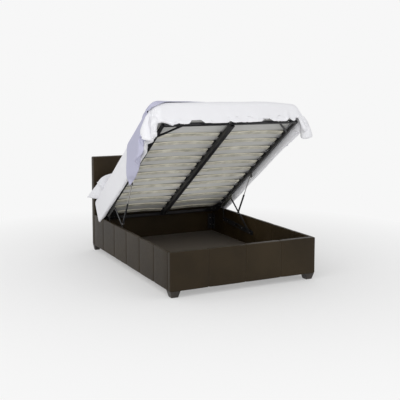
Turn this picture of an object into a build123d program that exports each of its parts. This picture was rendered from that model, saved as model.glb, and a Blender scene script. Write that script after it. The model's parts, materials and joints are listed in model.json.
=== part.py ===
from build123d import *
from math import atan2, cos, degrees, hypot, radians, sin
import os

# Ottoman storage bed, made up, with its sprung deck raised on two links and one gas strut a side.
# Millimetres. The origin is on the floor under the middle of the bed, +Y points to the headboard,
# +X to the right of someone who stands at the foot end and looks at the headboard.

# Overall sizes of the upholstered box
bed_width = 1430
bed_length = 2050
rail_top = 384
ground_clearance = 55
headboard_top = 995
headboard_thickness = 80
footboard_thickness = 60
rail_thickness = 30
cover_thickness = 5
cut_overrun = 10
headboard_board_thickness = 30
panel_edge_radius = 9
rail_edge_radius = 6

# Stitched seams in the upholstery
seam_width = 4
seam_depth = 1.5
footboard_panels = 4
rail_panels = 6
seam_end_margin = 26

# Feet and centre legs
front_foot_top = 92
front_foot_bottom = 62
head_foot_width = 70
head_foot_depth = 62
head_foot_taper_share = 0.72
foot_inset = 4
foot_edge_bevel = 3
centre_leg_radius = 18
centre_leg_spacing_share = 0.34

# Storage floor
bearer_size = 25
bearer_lift = 6
beam_width = 40
floor_board_thickness = 9
floor_board_gap = 1
floor_side_gap = 0.3

# Steel corner brackets and their bolts
bracket_leg = 60
bracket_height = 170
bracket_thickness = 3
bracket_lift = 65
bolt_head_radius = 5
bolt_head_height = 2.6
bolt_head_sides = 6
bracket_bolt_share = 0.28

# Raised deck: where it stands and how it leans
deck_tilt = 34.0
deck_length = 1894
deck_side_gap = 13
deck_rail_width = 20
deck_rail_height = 28
deck_rail_lift = 12
tube_wall = 1.5
centre_rail_width = 40

# Corner plates, braces and bolts of the deck
gusset_across = 170
gusset_along = 280
plate_thickness = 3
brace_across = 150
brace_along = 150
brace_width = 22
brace_depth = 12

# Sprung slats and their caps
slat_count = 12
first_slat_run = 48
last_slat_inset = 214.5
slat_width = 53
slat_thickness = 8
slat_rise = 13
cap_length = 30
cap_end_gap = 1
cap_wall = 2.5
slat_grip = 26

# Lift links
link_width = 20
link_thickness = 4
link_gap = 0.5
front_link_length = 513.3
front_link_angle = 37.37
front_pivot_height = 225.4
front_pivot_to_headboard = 892.5
front_pivot_run = 374.8
rear_pivot_run = 161.8
arm_pivot_drop = 14
rear_link_length = 148.7
rear_link_angle = 86.33
pin_radius = 5
pin_clearance = 0.05
pin_head_radius = 8
pin_head_height = 3
boss_radius = 8
base_plate_radius = 24
base_plate_thickness = 3
base_slot_length = 90
base_slot_width = 16
arm_depth = 24
arm_overhang = 46
arm_thickness = 3
arm_leg_overhang = 4
link_to_rail_edge = 4

# Gas struts
strut_plane_inset = 16
stud_run = 280
strut_pivot_run = 900
strut_pivot_drop = 24
strut_radius = 9
strut_wall = 1.5
strut_body_length = 240
rod_radius = 4
rod_clearance = 0.05
piston_radius = 7.4
piston_length = 8
gland_length = 10
eye_radius = 8
eye_width = 10
eye_neck_radius = 5
stud_radius = 4
stud_flange_radius = 7
stud_flange_height = 2
open_pivot_gap = 0.3
strut_bracket_width = 30
strut_bracket_depth = 46

# Mattress and bedding
mattress_side_inset = 40
mattress_head_inset = 14
mattress_foot_overhang = 2
mattress_thickness = 151
mattress_corner_radius = 45
mattress_edge_bevel = 14
rest_gap = 0.3
duvet_hem_height = 88
duvet_belly_overhang = 23
duvet_hem_inset = 14
duvet_shoulder_inset = 21
duvet_shoulder_height = 233
duvet_crown_height = 243
duvet_belly_height = 150
duvet_foot_overhang = 36
duvet_head_inset = 20
duvet_fold = 6
duvet_sink = 26
throw_thickness = 5
throw_foot_inset = 44
throw_length = 850
pillow_side_overhang = 75
pillow_inner_gap = 6
pillow_head_run = 60
pillow_depth = 390
pillow_height = 108
pillow_draw_in = 14

os.makedirs("parts", exist_ok=True)

half_width = bed_width / 2
foot_face = -bed_length / 2
head_face = bed_length / 2
inner_foot = foot_face + footboard_thickness
inner_head = head_face - headboard_thickness
inner_side = half_width - rail_thickness
panel_height = rail_top - ground_clearance
rail_length = inner_head - inner_foot
sides = (("left", -1), ("right", 1))


def write(shape, name):
    """Label one finished piece and write it to its own file."""
    shape.label = name
    export_step(shape, f"parts/{name}.step")


def along(point, angle, distance):
    """Return the (y, z) point a distance away at an angle above the +Y direction."""
    return (point[0] + distance * cos(radians(angle)), point[1] + distance * sin(radians(angle)))


def deck_step(run, rise):
    """Return the (y, z) step for a run towards the foot and a rise square to the deck."""
    lean = radians(deck_tilt)
    return (-run * cos(lean) + rise * sin(lean), run * sin(lean) + rise * cos(lean))


# Where the linkage puts the deck: base pivots, deck pivots and the deck's head corner
front_base = (inner_head - front_pivot_to_headboard, front_pivot_height)
front_deck = along(front_base, front_link_angle, front_link_length)
front_step = deck_step(front_pivot_run, -arm_pivot_drop)
deck_head = (front_deck[0] - front_step[0], front_deck[1] - front_step[1])
rear_step = deck_step(rear_pivot_run, -arm_pivot_drop)
rear_deck = (deck_head[0] + rear_step[0], deck_head[1] + rear_step[1])
rear_base = along(rear_deck, rear_link_angle, -rear_link_length)
strut_low = along(front_base, front_link_angle, stud_run)
strut_step = deck_step(strut_pivot_run, -strut_pivot_drop)
strut_high = (deck_head[0] + strut_step[0], deck_head[1] + strut_step[1])
strut_length = hypot(strut_high[0] - strut_low[0], strut_high[1] - strut_low[1])
strut_angle = degrees(atan2(strut_high[1] - strut_low[1], strut_high[0] - strut_low[0]))

deck = Plane(
    origin=(0, deck_head[0], deck_head[1]),
    x_dir=(1, 0, 0),
    z_dir=(0, sin(radians(deck_tilt)), cos(radians(deck_tilt))),
)


def deck_level(rise):
    """Return the plane of the deck, raised: x across the bed, y towards the head."""
    return deck.offset(rise)


def deck_across(run):
    """Return the upright plane across the deck at a run from its head end, facing the foot."""
    origin = deck.from_local_coords(Vector(0, -run, 0))
    return Plane(origin=origin, x_dir=deck.x_dir, z_dir=deck.y_dir * -1)


def deck_side(across):
    """Return the upright plane along the deck at a place across the bed, facing +X."""
    origin = deck.from_local_coords(Vector(across, 0, 0))
    return Plane(origin=origin, x_dir=deck.y_dir, z_dir=deck.x_dir)


# Planes of the mechanism, as distances from the bed's middle
deck_outer = inner_side - deck_side_gap
deck_inner = deck_outer - deck_rail_width
deck_rail_top = deck_rail_lift + deck_rail_height
link_inner = deck_inner + link_to_rail_edge
link_outer = link_inner + link_thickness
arm_inner = link_outer + link_gap
arm_outer = arm_inner + arm_thickness
arm_leg_inner = deck_inner - arm_leg_overhang
plate_inner = inner_side - base_plate_thickness
strut_across = link_inner - strut_plane_inset


def box_between(low, high):
    """Add a box between two opposite corners to the part in hand."""
    middle = Vector(*low) + Vector(high[0] - low[0], high[1] - low[1], high[2] - low[2]) / 2
    with Locations(middle):
        Box(high[0] - low[0], high[1] - low[1], high[2] - low[2])


# Headboard: a timber board, foam on its front, and a leather cover round both
head_core_low = (-half_width + cover_thickness, head_face - cover_thickness - headboard_board_thickness)
with BuildPart() as headboard_core:
    box_between(
        (head_core_low[0], head_core_low[1], ground_clearance),
        (half_width - cover_thickness, head_face - cover_thickness, headboard_top - cover_thickness),
    )
write(headboard_core.part, "headboard_core")

with BuildPart() as headboard_padding:
    box_between(
        (-half_width + cover_thickness, inner_head + cover_thickness, ground_clearance),
        (half_width - cover_thickness, head_core_low[1], headboard_top - cover_thickness),
    )
write(headboard_padding.part, "headboard_padding")

with BuildPart() as headboard_cover:
    box_between((-half_width, inner_head, ground_clearance), (half_width, head_face, headboard_top))
    fillet(headboard_cover.edges().filter_by(Axis.Z), panel_edge_radius)
    fillet(headboard_cover.faces().sort_by(Axis.Z)[-1].edges(), panel_edge_radius)
    with Locations((0, (inner_head + head_face) / 2, ground_clearance - cut_overrun)):
        Box(
            bed_width - cover_thickness * 2,
            headboard_thickness - cover_thickness * 2,
            headboard_top - ground_clearance - cover_thickness + cut_overrun,
            align=(Align.CENTER, Align.CENTER, Align.MIN),
            mode=Mode.SUBTRACT,
        )
write(headboard_cover.part, "headboard_cover")

# Footboard: a timber box in a leather cover with three stitched seams
with BuildPart() as footboard_core:
    box_between(
        (-half_width + cover_thickness, foot_face + cover_thickness, ground_clearance),
        (half_width - cover_thickness, inner_foot - cover_thickness, rail_top - cover_thickness),
    )
write(footboard_core.part, "footboard_core")

footboard_pitch = bed_width / footboard_panels
with BuildPart() as footboard_cover:
    box_between((-half_width, foot_face, ground_clearance), (half_width, inner_foot, rail_top))
    fillet(footboard_cover.edges().filter_by(Axis.Z), panel_edge_radius)
    fillet(footboard_cover.faces().sort_by(Axis.Z)[-1].edges(), panel_edge_radius)
    with Locations((0, (foot_face + inner_foot) / 2, ground_clearance - cut_overrun)):
        Box(
            bed_width - cover_thickness * 2,
            footboard_thickness - cover_thickness * 2,
            panel_height - cover_thickness + cut_overrun,
            align=(Align.CENTER, Align.CENTER, Align.MIN),
            mode=Mode.SUBTRACT,
        )
    with Locations((0, foot_face + seam_depth, ground_clearance + panel_height / 2)):
        with GridLocations(footboard_pitch, 0, footboard_panels - 1, 1):
            Box(
                seam_width,
                seam_depth + cut_overrun,
                panel_height,
                align=(Align.CENTER, Align.MAX, Align.CENTER),
                mode=Mode.SUBTRACT,
            )
write(footboard_cover.part, "footboard_cover")

# Side rails: each a board in a leather cover with seams at an even pitch along the bed
rail_pitch = (bed_length - seam_end_margin * 2) / rail_panels
rail_middle = (inner_foot + inner_head) / 2
for side, sign in sides:
    rail_across = sign * (half_width - rail_thickness / 2)
    with BuildPart() as rail_core:
        with Locations((rail_across, rail_middle, ground_clearance)):
            Box(
                rail_thickness - cover_thickness * 2,
                rail_length,
                panel_height - cover_thickness,
                align=(Align.CENTER, Align.CENTER, Align.MIN),
            )
    write(rail_core.part, f"{side}_rail_core")

    with BuildPart() as rail_cover:
        with Locations((rail_across, rail_middle, ground_clearance)):
            Box(rail_thickness, rail_length, panel_height, align=(Align.CENTER, Align.CENTER, Align.MIN))
        fillet(rail_cover.faces().sort_by(Axis.Z)[-1].edges().filter_by(Axis.Y), rail_edge_radius)
        with Locations((rail_across, rail_middle, ground_clearance - cut_overrun)):
            Box(
                rail_thickness - cover_thickness * 2,
                rail_length,
                panel_height - cover_thickness + cut_overrun,
                align=(Align.CENTER, Align.CENTER, Align.MIN),
                mode=Mode.SUBTRACT,
            )
        seam_middle = half_width - seam_depth + (seam_depth + cut_overrun) / 2
        with Locations((sign * seam_middle, 0, ground_clearance + panel_height / 2)):
            with GridLocations(0, rail_pitch, 1, rail_panels - 1):
                Box(seam_depth + cut_overrun, seam_width, panel_height, mode=Mode.SUBTRACT)
    write(rail_cover.part, f"{side}_rail_cover")

# Tapered block feet under the four corners
with BuildPart() as front_feet:
    for _, sign in sides:
        foot_place = (
            sign * (half_width - foot_inset - front_foot_top / 2),
            foot_face + foot_inset + front_foot_top / 2,
        )
        with BuildSketch(Plane.XY.offset(ground_clearance)):
            with Locations(foot_place):
                Rectangle(front_foot_top, front_foot_top)
        with BuildSketch(Plane.XY):
            with Locations(foot_place):
                Rectangle(front_foot_bottom, front_foot_bottom)
        loft()
    chamfer(front_feet.edges().group_by(Axis.Z)[1], foot_edge_bevel)
write(front_feet.part, "front_feet")

with BuildPart() as head_feet:
    for _, sign in sides:
        foot_place = (
            sign * (half_width - foot_inset - head_foot_width / 2),
            head_face - foot_inset - head_foot_depth / 2,
        )
        with BuildSketch(Plane.XY.offset(ground_clearance)):
            with Locations(foot_place):
                Rectangle(head_foot_width, head_foot_depth)
        with BuildSketch(Plane.XY):
            with Locations(foot_place):
                Rectangle(
                    head_foot_width * head_foot_taper_share, head_foot_depth * head_foot_taper_share
                )
        loft()
    chamfer(head_feet.edges().group_by(Axis.Z)[1], foot_edge_bevel)
write(head_feet.part, "head_feet")

# Storage floor: bearers on the rails, a beam down the middle on three legs, three boards on top
bearer_bottom = ground_clearance + bearer_lift
with BuildPart() as floor_bearers:
    for _, sign in sides:
        with Locations((sign * (inner_side - bearer_size / 2), rail_middle, bearer_bottom)):
            Box(bearer_size, rail_length, bearer_size, align=(Align.CENTER, Align.CENTER, Align.MIN))
write(floor_bearers.part, "floor_bearers")

with BuildPart() as centre_beam:
    with Locations((0, rail_middle, bearer_bottom)):
        Box(beam_width, rail_length, bearer_size, align=(Align.CENTER, Align.CENTER, Align.MIN))
write(centre_beam.part, "centre_beam")

with BuildPart() as centre_legs:
    with Locations((0, rail_middle, 0)):
        with GridLocations(0, rail_length * centre_leg_spacing_share, 1, 3):
            Cylinder(centre_leg_radius, bearer_bottom, align=(Align.CENTER, Align.CENTER, Align.MIN))
write(centre_legs.part, "centre_legs")

floor_names = ("foot", "middle", "head")
board_pitch = rail_length / len(floor_names)
for index, place in enumerate(floor_names):
    with BuildPart() as floor_board:
        board_middle = inner_foot + board_pitch * (index + 1 / 2)
        with Locations((0, board_middle, bearer_bottom + bearer_size)):
            Box(
                (inner_side - floor_side_gap) * 2,
                board_pitch - floor_board_gap,
                floor_board_thickness,
                align=(Align.CENTER, Align.CENTER, Align.MIN),
            )
    write(floor_board.part, f"{place}_floor_board")

# Corner brackets: bent steel angles that tie the rails to the headboard and the footboard
bracket_bottom = ground_clearance + bracket_lift
bolt_heights = [
    bracket_bottom + bracket_height * bracket_bolt_share,
    bracket_bottom + bracket_height * (1 - bracket_bolt_share),
]
corners = [
    (sign, end, wall) for _, sign in sides for end, wall in ((1, inner_foot), (-1, inner_head))
]
with BuildPart() as corner_brackets:
    for sign, end, wall in corners:
        with BuildSketch(Plane.XY.offset(bracket_bottom)):
            with BuildLine():
                Polyline(
                    (sign * inner_side, wall),
                    (sign * (inner_side - bracket_leg), wall),
                    (sign * (inner_side - bracket_leg), wall + end * bracket_thickness),
                    (sign * (inner_side - bracket_thickness), wall + end * bracket_thickness),
                    (sign * (inner_side - bracket_thickness), wall + end * bracket_leg),
                    (sign * inner_side, wall + end * bracket_leg),
                    close=True,
                )
            make_face()
    extrude(amount=bracket_height)
write(corner_brackets.part, "corner_brackets")

# Hexagonal bolt heads, seen from inside the box: two on each bracket leg and four on each base plate
plate_lean = atan2(rear_base[1] - front_base[1], rear_base[0] - front_base[0])
plate_span = hypot(rear_base[0] - front_base[0], rear_base[1] - front_base[1])
plate_bolt_shares = (0.09, 0.36, 0.64, 0.91)
plate_bolts = [along(front_base, degrees(plate_lean), plate_span * share) for share in plate_bolt_shares]

base_bolt_faces = []
for sign, end, wall in corners:
    for height in bolt_heights:
        end_spot = (sign * (inner_side - bracket_leg / 2), wall + end * bracket_thickness, height)
        side_spot = (sign * (inner_side - bracket_thickness), wall + end * bracket_leg / 2, height)
        base_bolt_faces.append(Plane(origin=end_spot, z_dir=(0, end, 0)))
        base_bolt_faces.append(Plane(origin=side_spot, z_dir=(-sign, 0, 0)))
for _, sign in sides:
    for place in plate_bolts:
        base_bolt_faces.append(Plane(origin=(sign * plate_inner, *place), z_dir=(-sign, 0, 0)))

with BuildPart() as base_bolts:
    with BuildSketch(*base_bolt_faces):
        RegularPolygon(bolt_head_radius, bolt_head_sides)
    extrude(amount=bolt_head_height)
write(base_bolts.part, "base_bolts")

# Bolts of the deck: in pairs on the foot rail, on the head corner plates and under the lift arms
foot_bolt_places = (
    centre_rail_width / 2,
    deck_inner - brace_across,
    deck_inner - brace_across / 2,
)
gusset_bolt_shares = ((0.25, 0.18), (0.5, 0.18), (0.15, 0.42), (0.15, 0.66))
arm_bolt_shares = (0.3, 0.5, 0.7)
arm_low = rear_pivot_run - arm_overhang
arm_high = front_pivot_run + arm_overhang
foot_rail_face = deck_across(deck_length)
deck_bolt_faces = []
for _, sign in sides:
    for place in foot_bolt_places:
        height = deck_rail_lift + deck_rail_height / 2
        spot = foot_rail_face.from_local_coords(Vector(sign * place, height, 0))
        deck_bolt_faces.append(Plane(origin=spot, z_dir=foot_rail_face.z_dir))
    for across_share, along_share in gusset_bolt_shares:
        across = sign * (deck_inner - gusset_across * across_share)
        run = deck_rail_width + gusset_along * along_share
        spot = deck.from_local_coords(Vector(across, -run, deck_rail_lift))
        deck_bolt_faces.append(Plane(origin=spot, z_dir=deck.z_dir * -1))
    for share in arm_bolt_shares:
        across = sign * (arm_leg_inner + arm_inner) / 2
        run = arm_low + (arm_high - arm_low) * share
        spot = deck.from_local_coords(Vector(across, -run, deck_rail_lift - arm_thickness))
        deck_bolt_faces.append(Plane(origin=spot, z_dir=deck.z_dir * -1))

with BuildPart() as deck_bolts:
    with BuildSketch(*deck_bolt_faces):
        RegularPolygon(bolt_head_radius, bolt_head_sides)
    extrude(amount=bolt_head_height)
write(deck_bolts.part, "deck_bolts")

# Lift mechanism, one set a side: base plate with bosses, front link, rear link and deck arm
for side, sign in sides:
    plane_low = Plane.YZ.offset(min(sign * plate_inner, sign * inner_side))
    boss_plane = Plane.YZ.offset(min(sign * arm_inner, sign * plate_inner))
    with BuildPart() as base_plate:
        with BuildSketch(plane_low):
            with Locations(front_base, rear_base):
                Circle(base_plate_radius)
            make_hull()
            plate_middle = ((front_base[0] + rear_base[0]) / 2, (front_base[1] + rear_base[1]) / 2)
            with Locations(Location((*plate_middle, 0), degrees(plate_lean))):
                SlotOverall(base_slot_length, base_slot_width, mode=Mode.SUBTRACT)
        extrude(amount=base_plate_thickness)
        with BuildSketch(boss_plane):
            with Locations(front_base, rear_base):
                Circle(boss_radius)
        extrude(amount=plate_inner - arm_inner)
    write(base_plate.part, f"{side}_base_plate")

    link_plane = Plane.YZ.offset(min(sign * link_inner, sign * link_outer))
    with BuildPart() as front_link:
        with BuildSketch(link_plane):
            with Locations(front_base, front_deck):
                Circle(link_width / 2)
            make_hull()
            with Locations(front_base):
                Circle(pin_radius + pin_clearance, mode=Mode.SUBTRACT)
            with Locations(front_deck):
                Circle(pin_radius, mode=Mode.SUBTRACT)
            with Locations(strut_low):
                Circle(stud_radius, mode=Mode.SUBTRACT)
        extrude(amount=link_thickness)
    write(front_link.part, f"{side}_front_link")

    with BuildPart() as rear_link:
        with BuildSketch(link_plane):
            with Locations(rear_base, rear_deck):
                Circle(link_width / 2)
            make_hull()
            with Locations(rear_base, rear_deck):
                Circle(pin_radius + pin_clearance, mode=Mode.SUBTRACT)
        extrude(amount=link_thickness)
    write(rear_link.part, f"{side}_rear_link")

    # The arm is a steel angle: one leg under the deck rail, the other hanging with the pivots
    with BuildPart() as arm:
        with BuildSketch(deck_side(min(sign * arm_inner, sign * arm_outer))):
            with BuildLine():
                Polyline(
                    (-arm_low, deck_rail_lift),
                    (-arm_low, deck_rail_lift - arm_thickness),
                    (-(rear_pivot_run - arm_pivot_drop), -arm_depth),
                    (-(front_pivot_run + arm_pivot_drop), -arm_depth),
                    (-arm_high, deck_rail_lift - arm_thickness),
                    (-arm_high, deck_rail_lift),
                    close=True,
                )
            make_face()
            with Locations((-rear_pivot_run, -arm_pivot_drop)):
                Circle(pin_radius, mode=Mode.SUBTRACT)
        extrude(amount=arm_thickness)
        with BuildSketch(deck_level(deck_rail_lift - arm_thickness)):
            with Locations((sign * (arm_leg_inner + arm_outer) / 2, -(arm_low + arm_high) / 2)):
                Rectangle(arm_outer - arm_leg_inner, arm_high - arm_low)
        extrude(amount=arm_thickness)
    write(arm.part, f"{side}_lift_arm")


def round_bar(origin, facing, radius, length):
    """Add a round bar that starts at a point and runs the way it faces."""
    with Locations(Plane(origin=origin, z_dir=facing)):
        Cylinder(radius, length, align=(Align.CENTER, Align.CENTER, Align.MIN))


# Pivot pins with flat rivet heads on the inner face of the links
head_inner = link_inner - pin_clearance - pin_head_height
with BuildPart() as base_pins:
    for _, sign in sides:
        for place in (front_base, rear_base):
            round_bar((sign * arm_inner, *place), (-sign, 0, 0), pin_radius, arm_inner - head_inner)
            round_bar((sign * head_inner, *place), (sign, 0, 0), pin_head_radius, pin_head_height)
write(base_pins.part, "base_pins")

with BuildPart() as arm_pins:
    for _, sign in sides:
        round_bar((sign * arm_outer, *rear_deck), (-sign, 0, 0), pin_radius, arm_outer - head_inner)
        round_bar((sign * head_inner, *rear_deck), (sign, 0, 0), pin_head_radius, pin_head_height)
write(arm_pins.part, "arm_pins")

# The front link's upper pin stays with the link and stops just short of the arm
pin_tip = arm_inner - open_pivot_gap
link_pin_head = link_inner - pin_head_height
with BuildPart() as link_pins:
    for _, sign in sides:
        round_bar((sign * pin_tip, *front_deck), (-sign, 0, 0), pin_radius, pin_tip - link_inner)
        round_bar((sign * link_pin_head, *front_deck), (sign, 0, 0), pin_head_radius, pin_head_height)
write(link_pins.part, "link_pins")


def strut_pin(root, place, sign, tail):
    """Add a strut's pin: a tail in the plate, a flange on it, a shank and a cap past the eye.

    The root is how far from the bed's middle the flange sits on its plate.
    """
    cap_face = strut_across - eye_width / 2 - open_pivot_gap
    pin_end = cap_face - stud_flange_height
    round_bar((sign * (root + tail), *place), (-sign, 0, 0), stud_radius, root + tail - pin_end)
    round_bar((sign * root, *place), (-sign, 0, 0), stud_flange_radius, stud_flange_height)
    round_bar((sign * cap_face, *place), (-sign, 0, 0), stud_flange_radius, stud_flange_height)


# Strut pins: the lower pair on the front links, the upper pair carried by the struts' top eyes
with BuildPart() as lower_strut_pins:
    for _, sign in sides:
        strut_pin(link_inner, strut_low, sign, link_thickness)
write(lower_strut_pins.part, "lower_strut_pins")

strut_bracket_outer = link_inner
strut_bracket_inner = strut_bracket_outer - plate_thickness
stud_face = strut_bracket_inner - open_pivot_gap
with BuildPart() as upper_strut_pins:
    for _, sign in sides:
        strut_pin(stud_face, strut_high, sign, 0)
write(upper_strut_pins.part, "upper_strut_pins")

with BuildPart() as strut_brackets:
    for _, sign in sides:
        with BuildSketch(deck_side(min(sign * strut_bracket_inner, sign * strut_bracket_outer))):
            with Locations((-strut_pivot_run, deck_rail_lift - strut_bracket_depth / 2)):
                Rectangle(strut_bracket_width, strut_bracket_depth)
        extrude(amount=plate_thickness)
        with BuildSketch(deck_level(deck_rail_lift - plate_thickness)):
            with Locations((sign * (strut_bracket_inner + deck_outer) / 2, -strut_pivot_run)):
                Rectangle(deck_outer - strut_bracket_inner, strut_bracket_width)
        extrude(amount=plate_thickness)
write(strut_brackets.part, "strut_brackets")

# Gas struts: a black tube with a gland, and a bright rod whose piston sits inside it
strut_dir = (0, cos(radians(strut_angle)), sin(radians(strut_angle)))
body_start = eye_radius + eye_neck_radius
cavity_end = strut_body_length - gland_length
for side, sign in sides:
    strut_base = Plane(origin=(sign * strut_across, *strut_low), x_dir=(1, 0, 0), z_dir=strut_dir)
    with BuildPart() as strut_cylinder:
        with BuildSketch(strut_base.offset(body_start)):
            Circle(strut_radius)
        extrude(amount=strut_body_length)
        chamfer(strut_cylinder.edges(), strut_wall / 2)
        with BuildSketch(strut_base.offset(body_start + gland_length)):
            Circle(strut_radius - strut_wall)
        extrude(amount=cavity_end - gland_length, mode=Mode.SUBTRACT)
        with BuildSketch(strut_base.offset(body_start + cavity_end)):
            Circle(rod_radius + rod_clearance)
        extrude(amount=gland_length, mode=Mode.SUBTRACT)
    write(strut_cylinder.part, f"{side}_strut_cylinder")

    rod_start = body_start + cavity_end - piston_length * 2
    rod_end = strut_length - body_start
    with BuildPart() as strut_rod:
        with BuildSketch(strut_base.offset(rod_start)):
            Circle(rod_radius)
        extrude(amount=rod_end - rod_start)
        with BuildSketch(strut_base.offset(rod_start)):
            Circle(piston_radius)
        extrude(amount=piston_length)
    write(strut_rod.part, f"{side}_strut_rod")


def eye(place, sign, facing, bore):
    """Add a strut's end eye: a round eye with a bore, and a neck towards the strut."""
    centre = (sign * strut_across, *place)
    round_bar(centre, facing, eye_neck_radius, body_start)
    with Locations(Plane(origin=centre, z_dir=(1, 0, 0))):
        Cylinder(eye_radius, eye_width)
        Cylinder(bore, eye_width, mode=Mode.SUBTRACT)


strut_back = tuple(-part for part in strut_dir)
with BuildPart() as lower_strut_eyes:
    for _, sign in sides:
        eye(strut_low, sign, strut_dir, stud_radius + pin_clearance)
write(lower_strut_eyes.part, "lower_strut_eyes")

with BuildPart() as upper_strut_eyes:
    for _, sign in sides:
        eye(strut_high, sign, strut_back, stud_radius)
write(upper_strut_eyes.part, "upper_strut_eyes")

# Deck frame: two side tubes, a head tube, a foot tube and a wide centre tube that hangs lower
inner_run_length = deck_length - deck_rail_width * 2
for side, sign in sides:
    with BuildPart() as deck_rail:
        with BuildSketch(deck_across(0)):
            rail_spot = (sign * (deck_outer - deck_rail_width / 2), deck_rail_lift + deck_rail_height / 2)
            with Locations(rail_spot):
                Rectangle(deck_rail_width, deck_rail_height)
                Rectangle(
                    deck_rail_width - tube_wall * 2, deck_rail_height - tube_wall * 2, mode=Mode.SUBTRACT
                )
        extrude(amount=deck_length)
    write(deck_rail.part, f"{side}_deck_rail")

for name, run in (("head_deck_rail", 0), ("foot_deck_rail", deck_length - deck_rail_width)):
    with BuildPart() as cross_rail:
        with BuildSketch(deck_side(-deck_inner)):
            with Locations((-(run + deck_rail_width / 2), deck_rail_lift + deck_rail_height / 2)):
                Rectangle(deck_rail_width, deck_rail_height)
                Rectangle(
                    deck_rail_width - tube_wall * 2, deck_rail_height - tube_wall * 2, mode=Mode.SUBTRACT
                )
        extrude(amount=deck_inner * 2)
    write(cross_rail.part, name)

with BuildPart() as centre_rail:
    with BuildSketch(deck_across(deck_rail_width)):
        with Locations((0, deck_rail_top / 2)):
            Rectangle(centre_rail_width, deck_rail_top)
            Rectangle(
                centre_rail_width - tube_wall * 2, deck_rail_top - tube_wall * 2, mode=Mode.SUBTRACT
            )
    extrude(amount=inner_run_length)
write(centre_rail.part, "centre_deck_rail")

# Triangular plates in the head corners and diagonal bars in the foot corners
with BuildPart() as head_gussets:
    for _, sign in sides:
        with BuildSketch(deck_level(deck_rail_lift)):
            with BuildLine():
                Polyline(
                    (sign * deck_inner, -deck_rail_width),
                    (sign * (deck_inner - gusset_across), -deck_rail_width),
                    (sign * deck_inner, -(deck_rail_width + gusset_along)),
                    close=True,
                )
            make_face()
        extrude(amount=plate_thickness)
write(head_gussets.part, "head_gussets")

foot_inner_run = deck_length - deck_rail_width
with BuildPart() as foot_braces:
    for _, sign in sides:
        with BuildSketch(deck_level(deck_rail_lift)):
            with BuildLine():
                Polyline(
                    (sign * (deck_inner - brace_across), -foot_inner_run),
                    (sign * (deck_inner - brace_across - brace_width), -foot_inner_run),
                    (sign * deck_inner, -(foot_inner_run - brace_along - brace_width)),
                    (sign * deck_inner, -(foot_inner_run - brace_along)),
                    close=True,
                )
            make_face()
        extrude(amount=brace_depth)
write(foot_braces.part, "foot_braces")


slat_lift = deck_rail_top + cap_wall
slat_inner_end = cap_end_gap + cap_length - slat_grip
slat_outer_end = deck_outer - slat_inner_end


def slat_side(column):
    """Return the bowed outline of one slat, across the bed and up from the deck's underside."""
    start = column * slat_inner_end
    end = column * slat_outer_end
    middle = (start + end) / 2
    with BuildSketch(Plane.XY) as outline:
        with BuildLine():
            ThreePointArc((start, slat_lift), (middle, slat_lift + slat_rise), (end, slat_lift))
            Line((end, slat_lift), (end, slat_lift + slat_thickness))
            ThreePointArc(
                (end, slat_lift + slat_thickness),
                (middle, slat_lift + slat_rise + slat_thickness),
                (start, slat_lift + slat_thickness),
            )
            Line((start, slat_lift + slat_thickness), (start, slat_lift))
        make_face()
    return outline.sketch


# Sprung slats: two columns of bowed beech boards, their ends held in rubber caps on top of the tubes
slat_span = deck_length - first_slat_run - last_slat_inset - slat_width
slat_pitch = slat_span / (slat_count - 1)
slat_runs = [first_slat_run + slat_pitch * index for index in range(slat_count)]
slat_sides = {column: slat_side(column) for _, column in sides}
slat_half_span = (slat_outer_end - slat_inner_end) / 2
bow_in_cap = slat_rise * slat_grip * 2 / slat_half_span
cap_height = slat_thickness + cap_wall * 2 + bow_in_cap
for side, column in sides:
    with BuildPart() as slats:
        for run in slat_runs:
            with BuildSketch(deck_across(run)):
                add(slat_sides[column])
        extrude(amount=slat_width)
    write(slats.part, f"{side}_slats")

    cap_columns = (
        ("outer", column * (deck_outer - cap_end_gap - cap_length / 2)),
        ("inner", column * (cap_end_gap + cap_length / 2)),
    )
    for place, across in cap_columns:
        with BuildPart() as caps:
            for run in slat_runs:
                with BuildSketch(deck_level(deck_rail_top)):
                    with Locations((across, -(run + slat_width / 2))):
                        Rectangle(cap_length, slat_width + cap_wall * 2)
            extrude(amount=cap_height)
            for run in slat_runs:
                with BuildSketch(deck_across(run)):
                    add(slat_sides[column])
            extrude(amount=slat_width, mode=Mode.SUBTRACT)
        write(caps.part, f"{side}_{place}_caps")

# Mattress: a foam block with rounded corners and eased edges, lying on the crowns of the slats
mattress_width = bed_width - mattress_side_inset * 2
mattress_length = deck_length + mattress_foot_overhang - mattress_head_inset
mattress_middle = -(mattress_head_inset + mattress_length / 2)
mattress_base = slat_lift + slat_rise + slat_thickness + rest_gap
mattress_top = mattress_base + mattress_thickness
with BuildPart() as mattress:
    with BuildSketch(deck_level(mattress_base)):
        with Locations((0, mattress_middle)):
            RectangleRounded(mattress_width, mattress_length, mattress_corner_radius)
    extrude(amount=mattress_thickness)
    rims = mattress.faces().sort_by(Axis(deck.origin, deck.z_dir))
    chamfer(rims[0].edges() + rims[-1].edges(), mattress_edge_bevel)
write(mattress.part, "mattress")


def cover_outline(extra, fold, sink):
    """Return the outline of the bedding across the bed, grown outward, folded and sunk."""
    hem = half_width - duvet_hem_inset + extra + fold
    belly = half_width + duvet_belly_overhang + extra + fold
    shoulder = half_width - duvet_shoulder_inset + extra + fold
    shoulder_rise = duvet_shoulder_height + extra - sink
    crown = duvet_crown_height + extra - sink
    with BuildSketch(Plane.XY) as outline:
        with BuildLine():
            Line((-hem, duvet_hem_height), (hem, duvet_hem_height))
            ThreePointArc(
                (hem, duvet_hem_height), (belly, duvet_belly_height), (shoulder, shoulder_rise)
            )
            ThreePointArc((shoulder, shoulder_rise), (0, crown), (-shoulder, shoulder_rise))
            ThreePointArc(
                (-shoulder, shoulder_rise), (-belly, duvet_belly_height), (-hem, duvet_hem_height)
            )
        make_face()
    return outline.sketch


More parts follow.
